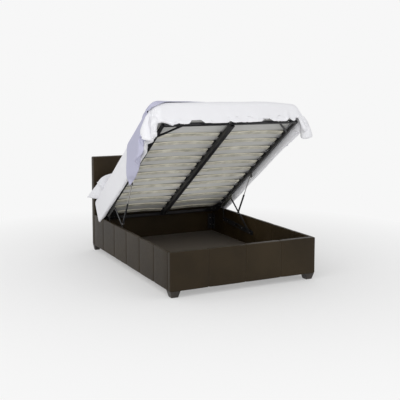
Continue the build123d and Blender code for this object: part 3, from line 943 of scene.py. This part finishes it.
@dataclass(frozen=True)
class ClothRun:
    """Settings of one cloth simulation."""

    frames: int = 40
    quality: int = 6
    mass: float = 0.35
    tension: float = 20.0
    bending: float = 1.5
    pressure: float = 0.0
    gravity: float = 1.0
    shear: float = 0.33
    held_half_width: float = 0.0
    held_foot: float = -1.78
    gap: float = 0.006

    def hold(self, cloth: bpy.types.Object, settings: bpy.types.ClothSettings) -> None:
        """Hold the middle of a sheet still, so that it can't slide down the raised deck.

        Args:
            cloth: The sheet.
            settings: The settings of its simulation.
        """
        group = cloth.vertex_groups.new(name="held")
        for vert in cloth.data.vertices:
            if abs(vert.co.x) < self.held_half_width and vert.co.y > self.held_foot:
                group.add([vert.index], 1.0, "REPLACE")
        settings.vertex_group_mass = group.name

    def settle(self, cloth: bpy.types.Object) -> None:
        """Run the simulation on a mesh and keep its last shape.

        Args:
            cloth: The object, whose mesh is replaced by the settled one.
        """
        scene = bpy.context.scene
        kept_gravity = scene.gravity.copy()
        scene.gravity = DECK.matrix().to_3x3().inverted() @ kept_gravity
        modifier = cloth.modifiers.new("Cloth", "CLOTH")
        settings = modifier.settings
        if self.held_half_width:
            self.hold(cloth, settings)
        settings.quality = self.quality
        settings.mass = self.mass
        settings.tension_stiffness = self.tension
        settings.compression_stiffness = self.tension
        settings.shear_stiffness = self.tension * self.shear
        settings.bending_stiffness = self.bending
        settings.effector_weights.gravity = self.gravity
        if self.pressure:
            settings.use_pressure = True
            settings.uniform_pressure_force = self.pressure
        collision = modifier.collision_settings
        collision.collision_quality = 3
        collision.distance_min = self.gap
        modifier.point_cache.frame_start = 1
        modifier.point_cache.frame_end = self.frames
        for frame in range(1, self.frames + 1):
            scene.frame_set(frame)
        graph = bpy.context.evaluated_depsgraph_get()
        settled = bpy.data.meshes.new_from_object(cloth.evaluated_get(graph))
        cloth.modifiers.clear()
        cloth.vertex_groups.clear()
        old = cloth.data
        cloth.data = settled
        bpy.data.meshes.remove(old)
        scene.gravity = kept_gravity
        scene.frame_set(1)


def solid_for(shape: bmesh.types.BMesh, name: str) -> bpy.types.Object:
    """Make a temporary solid that a simulated sheet lands on.

    Args:
        shape: The solid's shape, freed afterwards.
        name: The solid's name.

    Returns:
        The object.
    """
    mesh = bpy.data.meshes.new(name)
    shape.to_mesh(mesh)
    shape.free()
    made = bpy.data.objects.new(name, mesh)
    bpy.context.scene.collection.objects.link(made)
    made.modifiers.new("Collision", "COLLISION")
    made.collision.thickness_outer = 0.004
    made.collision.cloth_friction = 20.0
    return made


def drop(solid: bpy.types.Object) -> None:
    """Remove a temporary object and its mesh.

    Args:
        solid: The object.
    """
    mesh = solid.data
    bpy.data.objects.remove(solid)
    bpy.data.meshes.remove(mesh)


@dataclass
class Mattress:
    """The mattress: a padded block with rounded corners and rims."""

    half_width: float = 0.675
    head: float = -0.014
    foot: float = -1.896
    bottom: float = 0.0638
    top: float = 0.2148
    corner: float = 0.045
    rim: float = 0.015
    inset: float = 0.001
    cell: float = 0.1

    def build(self) -> bpy.types.Object:
        """Build the block with its upright corners and rims rounded.

        Returns:
            The mattress.
        """
        half = self.half_width - self.inset
        low = Vector((-half, self.foot + self.inset, self.bottom + self.inset))
        high = Vector((half, self.head - self.inset, self.top - self.inset))
        bm = bmesh.new()
        bmesh.ops.create_cube(bm, size=1.0)
        bmesh.ops.scale(bm, vec=high - low, verts=bm.verts)
        bmesh.ops.translate(bm, vec=(low + high) / 2, verts=bm.verts)
        upright = [e for e in bm.edges if abs(e.verts[0].co.z - e.verts[1].co.z) > 0.1]
        bmesh.ops.bevel(bm, geom=upright, offset=self.corner, segments=6, **BEVEL)
        rims = {edge for face in bm.faces if abs(face.normal.z) > 0.9 for edge in face.edges}
        bmesh.ops.bevel(bm, geom=list(rims), offset=self.rim, segments=4, **BEVEL)
        cut_at(bm, 1, [self.foot + self.cell * step for step in range(1, 19)])
        cut_at(bm, 0, [self.cell * step for step in range(-6, 7)])
        flat_uv(bm)
        made = piece(
            bm, "mattress_block", "platform", (Finish.TICKING,), ("mattress",), DECK.matrix()
        )
        return made


@dataclass(frozen=True)
class Drape:
    """A sheet laid flat over the deck and left to fall.

    Attributes:
        left: How far it reaches from the bed's middle on the left.
        right: How far it reaches on the right.
        head: Where its head edge lies along the deck.
        foot: Where its foot edge lies along the deck.
        spacing: Size of its cells.
        height: How high over the deck it starts.
        longer_at_foot: How much longer its left and right sides are at the foot.
        longer_from: Where the sides start to grow longer.
        longer_to: Where they have their full length.
        corner_drop: How much shorter the foot edge is near the left corner.
        corner_from: Where across the bed that change starts.
        corner_reach: How wide that change is.
        corner_radius: Radius of the left and right foot corners.
        shaped_from: How far from the middle the sides are stretched.
        ends_from: How far along the deck the foot edge is stretched from.
        skew: How far the sheet lies turned on the bed, as a slope.
        lean: Slope of the hanging sides towards the head, at the foot and at the head edge.
        lean_from: Where the sides start to hang.
        waviness: Height of the first unevenness, which starts the folds.
    """

    left: float
    right: float
    head: float
    foot: float
    spacing: float
    height: float
    longer_at_foot: Pair = (0.0, 0.0)
    longer_from: float = -1.0
    longer_to: float = -1.85
    corner_drop: float = 0.0
    corner_from: float = -0.5
    corner_reach: float = 0.14
    corner_radius: Pair = (0.0, 0.0)
    shaped_from: float = 0.6
    ends_from: float = -1.7
    skew: float = 0.0
    lean: Pair = (0.0, 0.0)
    lean_from: float = 0.72
    waviness: float = 0.003

    def swing(self, spot: Vector) -> float:
        """Work out how far a hanging point has swung towards the head of the raised deck.

        Args:
            spot: A point of the plain rectangle.

        Returns:
            The distance in metres.
        """
        share = (spot.y - self.foot) / (self.head - self.foot)
        lean = self.lean[0] + (self.lean[1] - self.lean[0]) * share
        return lean * max(0.0, abs(spot.x) - self.lean_from)

    def rounded(self, across: float, along: float, side: float, radius: float) -> Pair:
        """Draw a point near a square foot corner in to the round one.

        Args:
            across: Its distance from the bed's middle.
            along: Its place along the deck.
            side: How far the sheet reaches on this side.
            radius: Radius of the corner, or 0 for a square one.

        Returns:
            The point's new distance and place.
        """
        if not radius or across <= side - radius or along >= self.foot + radius:
            return across, along
        out, down = (across - side) / radius + 1.0, (self.foot - along) / radius + 1.0
        across = side + radius * (out * math.sqrt(1.0 - down * down / 2) - 1.0)
        along = self.foot - radius * (down * math.sqrt(1.0 - out * out / 2) - 1.0)
        return across, along

    def shaped(self, spot: Vector) -> Vector:
        """Move a point of the plain rectangle to its place on the sheet's real outline.

        Args:
            spot: The point.

        Returns:
            Its new place.
        """
        hand = 0 if spot.x < 0 else 1
        side = (self.left, self.right)[hand]
        hung = spot.y + self.swing(spot)
        share = (self.longer_from - hung) / (self.longer_from - self.longer_to)
        reach = side - self.longer_at_foot[hand] * (1.0 - min(1.0, max(0.0, share)))
        across, along = self.rounded(abs(spot.x), spot.y, side, self.corner_radius[hand])
        if across > self.shaped_from:
            scale = (reach - self.shaped_from) / (side - self.shaped_from)
            across = self.shaped_from + (across - self.shaped_from) * scale
        near = min(1.0, max(0.0, (self.corner_from - spot.x) / self.corner_reach))
        foot = self.foot + self.corner_drop * near
        if along < self.ends_from:
            scale = (self.ends_from - foot) / (self.ends_from - self.foot)
            along = self.ends_from - (self.ends_from - along) * scale
        wave = self.waviness * noise.noise(Vector((spot.x * 4.0, spot.y * 4.0, 2.0)))
        along += self.swing(spot)
        across = math.copysign(across, spot.x)
        return Vector((across, along + self.skew * across, spot.z + wave))

    def columns(self) -> int:
        """Return how many faces the sheet has across the bed."""
        return round((self.left + self.right) / self.spacing)

    def flat(self) -> bmesh.types.BMesh:
        """Lay the sheet out flat, with a UV map in metres.

        Returns:
            The flat shape.
        """
        bm = bmesh.new()
        width, length = self.left + self.right, self.head - self.foot
        across, along = self.columns(), round(length / self.spacing)
        bmesh.ops.create_grid(bm, x_segments=across, y_segments=along, size=0.5, calc_uvs=True)
        bmesh.ops.scale(bm, vec=(width, length, 1.0), verts=bm.verts)
        middle = Vector(((self.right - self.left) / 2, (self.head + self.foot) / 2, self.height))
        bmesh.ops.translate(bm, vec=middle, verts=bm.verts)
        for vert in bm.verts:
            vert.co = self.shaped(vert.co)
        layer = bm.loops.layers.uv.verify()
        for face in bm.faces:
            for loop in face.loops:
                loop[layer].uv = (loop.vert.co.x, loop.vert.co.y)
        return bm


@dataclass
class Bedding:
    """The duvet and the throw: each falls over what lies below it, then rides on the deck."""

    duvet: Drape = Drape(
        left=1.01,
        right=0.955,
        head=-0.05,
        foot=-2.2,
        spacing=0.02,
        height=0.259,
        longer_at_foot=(0.03, 0.0),
        corner_drop=0.065,
        corner_radius=(0.24, 0.08),
    )
    throw: Drape = Drape(
        left=1.15,
        right=1.01,
        head=-1.23,
        foot=-1.935,
        spacing=0.018,
        height=0.272,
        longer_at_foot=(0.1, 0.1),
        corner_drop=-0.1,
        skew=0.04,
        lean=(0.2, 0.65),
    )
    settled_frames: int = 48
    quick_frames: int = 14
    held_half_width: float = 0.26
    under_half_width: float = 0.722
    under_foot: float = -1.915
    under_head: float = 0.02
    under_top: float = 0.246
    under_radius: float = 0.062
    under_depth: float = 0.3
    cuts_across: tuple[float, ...] = (0.3, 0.4, 0.5, 0.58, 0.65)
    cuts_along: tuple[float, ...] = (-1.8, -1.7, -1.6, -1.5)
    cuts_up: tuple[float, ...] = (0.0, 0.08, 0.14)
    right_droop: float = 0.042
    right_droop_from: float = 0.3
    right_flare: float = 0.03
    right_flare_across: float = 0.5
    flare_from: float = -1.55
    top_thickness: float = 0.01
    hem_thickness: float = 0.036
    least_filling: float = 0.12
    shoulder: float = 0.02
    throw_thickness: float = 0.003
    tuck_from: float = -0.56
    tuck_to: float = 0.69
    tuck_rise: float = 0.044
    tuck_reach: float = 0.04
    least_drop: float = 0.02
    fold_depth: float = 0.006
    fold_reach: float = 0.16
    puff_depth: float = 0.004
    lowest: float = -0.125
    squash_top: float = 0.25
    squash_keep: float = 0.44

    def frames(self) -> int:
        """Return how many frames each sheet falls for."""
        return self.settled_frames

    def build(self) -> list[bpy.types.Object]:
        """Let the duvet fall over the mattress, and the throw over the duvet.

        Returns:
            The duvet and the throw.
        """
        duvet = piece(self.duvet.flat(), "duvet_cover", "platform", (Finish.COTTON,), ("duvet",))
        solid = solid_for(self.under(), "mattress_solid")
        held = self.held_half_width
        ClothRun(frames=self.frames(), shear=0.08, held_half_width=held).settle(duvet)
        drop(solid)
        self.gather(duvet)
        throw = piece(self.throw.flat(), "throw_blanket", "platform", (Finish.THROW,), ("throw",))
        below = bmesh.new()
        below.from_mesh(duvet.data)
        solid = solid_for(below, "duvet_solid")
        ClothRun(
            frames=self.frames(), mass=0.5, bending=0.6, shear=0.05, gap=0.007, held_half_width=held
        ).settle(throw)
        drop(solid)
        self.tuck(duvet)
        self.thicken(duvet)
        for made in (duvet, throw):
            for vert in made.data.vertices:
                vert.co.z = max(vert.co.z, self.lowest)
            made.data.transform(DECK.matrix())
        self.finish_throw(throw)
        fine = duvet.modifiers.new("Fine", "SUBSURF")
        fine.levels = fine.render_levels = 1
        width, length, area = self.cut(self.throw)
        for made in (duvet, throw):
            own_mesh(made)
        return [duvet, throw]

    def under(self) -> bmesh.types.BMesh:
        """Shape what the duvet lies on: the made-up mattress, lower and flared at its right side.

        Returns:
            The shape in the deck's own axes.
        """
        low = Vector((-self.under_half_width, self.under_foot, -self.under_depth))
        high = Vector((self.under_half_width, self.under_head, self.under_top))
        bm = rounded_box(low, high, self.under_radius, 6)
        for axis, cuts in enumerate((self.cuts_across, self.cuts_along, self.cuts_up)):
            cut_at(bm, axis, cuts)
        droop_width = self.under_half_width - self.right_droop_from
        for vert in bm.verts:
            x, y, z = vert.co
            if x > self.right_droop_from:
                share = (x - self.right_droop_from) / droop_width
                vert.co.z -= self.right_droop * share**1.5 * max(0.0, z / self.under_top)
            if x > self.right_flare_across and y < self.flare_from:
                along = min(1.0, (self.flare_from - y) / (self.flare_from - self.under_foot))
                down = min(1.0, max(0.0, (self.under_top - z) / self.under_top))
                vert.co.x += self.right_flare * along * down
        return bm

    def cut(self, drape: Drape) -> Triple:
        """Measure a sheet as it is cut.

        Args:
            drape: The sheet.

        Returns:
            Its flat width and length in metres, and its flat area in square metres.
        """
        bm = drape.flat()
        area = sum(face.calc_area() for face in bm.faces)
        across = [vert.co.x for vert in bm.verts]
        along = [vert.co.y for vert in bm.verts]
        bm.free()
        width, length = max(across) - min(across), max(along) - min(along)
        LOG.info("flat sheet %.3f by %.3f m, %.3f square metres", width, length, area)
        return width, length, area

    def gather(self, duvet: bpy.types.Object) -> None:
        """Add the soft upright folds of a duvet that hangs at its sides.

        Args:
            duvet: The settled sheet, whose points are moved.
        """
        for vert in duvet.data.vertices:
            low = self.under_top - self.shoulder - vert.co.z
            depth = min(1.0, max(0.0, low / self.fold_reach))
            spot = Vector((vert.co.x * 9.0, vert.co.y * 5.0, vert.co.z * 2.2))
            fold = noise.noise(spot) + 0.5 * noise.noise(spot * 2.3 + Vector((3.0, 1.0, 5.0)))
            puff = noise.noise(Vector((vert.co.x * 3.1, vert.co.y * 3.1, 9.0)))
            vert.co += vert.normal * (self.fold_depth * depth * fold + self.puff_depth * puff)

    def tuck(self, duvet: bpy.types.Object) -> None:
        """Tuck the foot of the duvet in along a straight line above the deck's foot rail.

        The sheet's points lie in rows that start at its foot edge, so one column is every point
        that many places after the first.

        Args:
            duvet: The settled sheet, whose points are moved.
        """
        verts = duvet.data.vertices
        top, foot = self.under_top - self.under_radius, self.under_foot + self.tuck_reach
        wide = self.duvet.columns() + 1
        for column in range(wide):
            hem = verts[column].co.copy()
            if not self.tuck_from < hem.x < self.tuck_to:
                continue
            drop_now = max(self.least_drop, top - max(hem.z, self.tuck_rise))
            stretch = (top - self.tuck_rise) / drop_now
            for vert in (verts[index] for index in range(column, len(verts), wide)):
                if vert.co.y < foot and vert.co.z < top:
                    vert.co.z = max(top - (top - vert.co.z) * stretch, self.tuck_rise)

    def thicken(self, duvet: bpy.types.Object) -> None:
        """Give the duvet a filling, thin on top and full along its hanging sides.

        Args:
            duvet: The settled sheet, whose mesh is replaced by the filled one.
        """
        group = duvet.vertex_groups.new(name="filling")
        span = self.under_top - self.shoulder
        for vert in duvet.data.vertices:
            share = min(1.0, max(0.0, (self.under_top - vert.co.z) / span))
            weight = self.least_filling + (1.0 - self.least_filling) * share
            group.add([vert.index], weight, "REPLACE")
        filling = duvet.modifiers.new("Filling", "SOLIDIFY")
        filling.thickness = self.hem_thickness
        filling.offset = -1.0
        filling.vertex_group = group.name
        filling.thickness_vertex_group = self.top_thickness / self.hem_thickness
        graph = bpy.context.evaluated_depsgraph_get()
        full = bpy.data.meshes.new_from_object(duvet.evaluated_get(graph))
        duvet.modifiers.clear()
        duvet.vertex_groups.clear()
        duvet.data = full

    def finish_throw(self, throw: bpy.types.Object) -> None:
        """Give the throw its thickness and a smooth surface.

        Args:
            throw: The settled sheet.
        """
        fine = throw.modifiers.new("Fine", "SUBSURF")
        fine.levels = fine.render_levels = 1
        thick = throw.modifiers.new("Thickness", "SOLIDIFY")
        thick.thickness = self.throw_thickness
        thick.offset = 0.0


@dataclass
class Pillow:
    """A filled pillow: crowned, its corners drawn out to points and its sides pulled in."""

    side: str
    column: int
    half_length: float = 0.41
    half_depth: float = 0.2
    middle_x: float = 0.414
    middle_run: float = 0.232
    middle_rise: float = 0.3
    fullness: float = 0.054
    draw_in: float = 0.036
    droop: float = 0.066
    tilt: float = 1.0
    toe_in: float = 3.0
    seam_half_thickness: float = 0.006
    crease: float = 0.006
    fullness_power: float = 2.6
    side_draw_share: float = 0.6
    cuts: int = 22
    filling: ClothRun = ClothRun(
        frames=16, quality=5, mass=0.3, tension=12.0, bending=0.4, pressure=3.0, gravity=0.0
    )

    def shape(self) -> bmesh.types.BMesh:
        """Shape the pillow before it is filled, centred on its middle.

        Returns:
            The shape.
        """
        bm = bmesh.new()
        bmesh.ops.create_cube(bm, size=2.0)
        bmesh.ops.subdivide_edges(bm, edges=bm.edges[:], cuts=self.cuts, use_grid_fill=True)
        for vert in bm.verts:
            u, v, w = vert.co
            across, along = (1.0 - abs(share) ** self.fullness_power for share in (u, v))
            crown = max(0.0, across * along) ** 0.5
            half_thickness = self.seam_half_thickness + self.fullness * crown
            pull_x = 1.0 - self.draw_in / self.half_length * (1.0 - v * v)
            pull_y = 1.0 - self.draw_in / self.half_depth * (1.0 - u * u) * self.side_draw_share
            crease = self.crease * noise.noise(Vector((u * 3.0 + self.column, v * 2.4, w)))
            vert.co.x = u * self.half_length * pull_x
            vert.co.y = v * self.half_depth * pull_y
            vert.co.z = w * half_thickness + crease - self.sag(u)
        bm.normal_update()
        flat_uv(bm)
        return bm

    def sag(self, across: float) -> float:
        """Return how far the pillow hangs down at its outer end, for -1..1 across its length."""
        return self.droop * max(0.0, across * self.column) ** 3

    def build(self) -> bpy.types.Object:
        """Fill the pillow and lay it on the deck.

        Returns:
            The pillow's piece.
        """
        replaced = (f"{self.side}_pillow",)
        name = f"{self.side}_pillow_case"
        made = piece(self.shape(), name, "platform", (Finish.PILLOW,), replaced)
        self.filling.settle(made)
        turn = Matrix.Rotation(math.radians(self.tilt), 4, "X")
        twist = Matrix.Rotation(math.radians(-self.toe_in * self.column), 4, "Z")
        spot = Vector((self.column * self.middle_x, -self.middle_run, self.middle_rise))
        made.data.transform(DECK.matrix() @ Matrix.Translation(spot) @ twist @ turn)
        fine = made.modifiers.new("Fine", "SUBSURF")
        fine.levels = fine.render_levels = 1
        return made


# Stage


@dataclass(frozen=True)
class Lamp:
    """One soft square area lamp."""

    name: str
    place: Triple
    aim: Triple
    size: float
    power: float

    def build(self) -> None:
        """Add the lamp, unseen by the camera and in reflections."""
        data = bpy.data.lights.new(self.name, "AREA")
        data.size = self.size
        data.energy = self.power
        made = bpy.data.objects.new(self.name, data)
        made.visible_camera = made.visible_glossy = False
        made.location = self.place
        way = Vector(self.aim) - Vector(self.place)
        made.rotation_euler = way.to_track_quat("-Z", "Y").to_euler()
        bpy.context.scene.collection.objects.link(made)


@dataclass
class Studio:
    """Pale floor, plain soft light and the camera."""

    camera_place: Triple = (-3.0914, -6.3987, 1.7627)
    yaw: float = 0.4578
    pitch: float = 0.1042
    lens: float = 66.06
    shift: float = -0.1
    pale: Colour = (0.93, 0.93, 0.93)
    world_level: float = 0.76
    floor_size: float = 30.0
    floor_colour: Colour = (0.86, 0.86, 0.86)
    clear_from: float = 1.2
    clear_at: float = 3.4
    floor_share: float = 0.35
    lamps: tuple[Lamp, ...] = (
        Lamp("key", (-4.6, -2.2, 3.4), (0.0, 0.0, 0.6), 3.0, 45.0),
        Lamp("low_fill", (-1.4, -6.0, 0.9), (0.0, 0.0, 0.6), 1.6, 60.0),
        Lamp("deck_fill", (0.0, -0.1, 0.13), (0.0, -0.5, 1.2), 1.1, 4.5),
    )

    def camera(self) -> None:
        """Add the camera."""
        data = bpy.data.cameras.new("camera")
        data.lens = self.lens
        data.sensor_width = 36.0
        data.shift_y = self.shift
        made = bpy.data.objects.new("camera", data)
        made.location = self.camera_place
        made.rotation_euler = (math.pi / 2 - self.pitch, 0.0, -self.yaw)
        bpy.context.scene.collection.objects.link(made)
        bpy.context.scene.camera = made

    def seen_directly(self, tree: bpy.types.NodeTree) -> bpy.types.NodeSocket:
        """Tell the rays that see a surface, in a mirror or glass too, from those that light it.

        Args:
            tree: The node tree to add to.

        Returns:
            A value of 1 for rays from the camera, a mirror or glass, and 0 for others.
        """
        path = tree.nodes.new("ShaderNodeLightPath")
        total = path.outputs["Is Camera Ray"]
        for name in ("Is Glossy Ray", "Is Transmission Ray"):
            adder = tree.nodes.new("ShaderNodeMath")
            adder.operation = "MAXIMUM"
            tree.links.new(total, adder.inputs[0])
            tree.links.new(path.outputs[name], adder.inputs[1])
            total = adder.outputs[0]
        return total

    def world(self) -> None:
        """Set a plain world that lights softly and shows pale."""
        world = bpy.data.worlds.new("studio")
        world.use_nodes = True
        tree = world.node_tree
        tree.nodes.clear()
        light = tree.nodes.new("ShaderNodeBackground")
        light.inputs["Color"].default_value = (1.0, 1.0, 1.0, 1.0)
        light.inputs["Strength"].default_value = self.world_level
        shown = tree.nodes.new("ShaderNodeBackground")
        shown.inputs["Color"].default_value = (*self.pale, 1.0)
        mix = tree.nodes.new("ShaderNodeMixShader")
        out = tree.nodes.new("ShaderNodeOutputWorld")
        tree.links.new(self.seen_directly(tree), mix.inputs["Fac"])
        tree.links.new(light.outputs["Background"], mix.inputs[1])
        tree.links.new(shown.outputs["Background"], mix.inputs[2])
        tree.links.new(mix.outputs["Shader"], out.inputs["Surface"])
        bpy.context.scene.world = world

    def floor(self) -> None:
        """Add the pale floor, which keeps a soft shadow."""
        bm = bmesh.new()
        bmesh.ops.create_grid(bm, x_segments=1, y_segments=1, size=self.floor_size)
        mesh = bpy.data.meshes.new("floor")
        bm.to_mesh(mesh)
        bm.free()
        made = bpy.data.objects.new("floor", mesh)
        bpy.context.scene.collection.objects.link(made)
        graph = Graph("pale_floor")
        graph.set(Base_Color=(*self.floor_colour, 1.0), Roughness=0.9, Specular_IOR_Level=0.1)
        tree = graph.tree
        glow = tree.nodes.new("ShaderNodeEmission")
        glow.inputs["Color"].default_value = (*self.pale, 1.0)
        away = graph.add("ShaderNodeVectorMath", operation="LENGTH")
        graph.join(graph.point(), away.inputs[0])
        distance = away.outputs["Value"]
        fade = graph.span(distance, self.floor_share, 1.0, self.clear_from, self.clear_at)
        half = tree.nodes.new("ShaderNodeMath")
        half.operation = "MULTIPLY"
        tree.links.new(self.seen_directly(tree), half.inputs[0])
        tree.links.new(fade, half.inputs[1])
        mix = tree.nodes.new("ShaderNodeMixShader")
        tree.links.new(half.outputs[0], mix.inputs["Fac"])
        tree.links.new(graph.shader.outputs["BSDF"], mix.inputs[1])
        tree.links.new(glow.outputs["Emission"], mix.inputs[2])
        tree.links.new(mix.outputs["Shader"], tree.nodes["Material Output"].inputs["Surface"])
        mesh.materials.append(graph.material)

    def build(self) -> None:
        """Build the stage."""
        bpy.context.scene.view_settings.view_transform = "Standard"
        self.camera()
        self.world()
        self.floor()
        for lamp in self.lamps:
            lamp.build()


# The CAD nodes that stay in view


CAD_FINISHES = {
    Finish.BLACK_STEEL: (
        "corner_brackets", "left_base_plate", "right_base_plate", "left_front_link",
        "right_front_link", "left_rear_link", "right_rear_link", "left_deck_rail",
        "right_deck_rail", "head_deck_rail", "foot_deck_rail", "centre_deck_rail",
        "head_gussets", "foot_braces", "strut_brackets",
    ),
    Finish.ZINC: (
        "base_bolts", "deck_bolts", "base_pins", "link_pins", "arm_pins", "lower_strut_pins",
        "upper_strut_pins", "left_lift_arm", "right_lift_arm",
    ),
    Finish.STRUT: ("left_strut_cylinder", "right_strut_cylinder"),
    Finish.ROD: ("left_strut_rod", "right_strut_rod"),
    Finish.EYE: ("lower_strut_eyes", "upper_strut_eyes"),
    Finish.CAP: ("left_outer_caps", "left_inner_caps", "right_inner_caps", "right_outer_caps"),
    Finish.BOARD: ("foot_floor_board", "middle_floor_board", "head_floor_board"),
    Finish.TIMBER: ("centre_beam", "floor_bearers"),
    Finish.FOOT: ("front_feet", "head_feet"),
    Finish.LEG: ("centre_legs",),
}


def dress_cad(nodes: dict[str, bpy.types.Object]) -> None:
    """Give each CAD node that stays in view its finish.

    Args:
        nodes: The CAD objects by name.
    """
    for finish, names in CAD_FINISHES.items():
        for name in names:
            mesh = nodes[name].data
            mesh.materials.clear()
            mesh.materials.append(finish.material())


def main() -> None:
    """Build the bed's looks, piece by piece."""
    logging.basicConfig(level=logging.INFO, format="%(message)s")
    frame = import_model()
    Studio().build()
    dress_cad(frame["nodes"])
    for made in LeatherBox().build():
        LOG.info("built %s", made.name)
    for side, column in (("left", -1), ("right", 1)):
        LOG.info("built %s", SlatBank(side, column).build().name)
    LOG.info("built %s", Mattress().build().name)
    for made in Bedding().build():
        LOG.info("built %s", made.name)
    for pillow in (Pillow("left", -1), Pillow("right", 1, half_length=0.392, middle_x=0.398)):
        LOG.info("built %s", pillow.build().name)
    LOG.info("built %s", FootRailScrews().build().name)


if __name__ == "__main__":
    main()
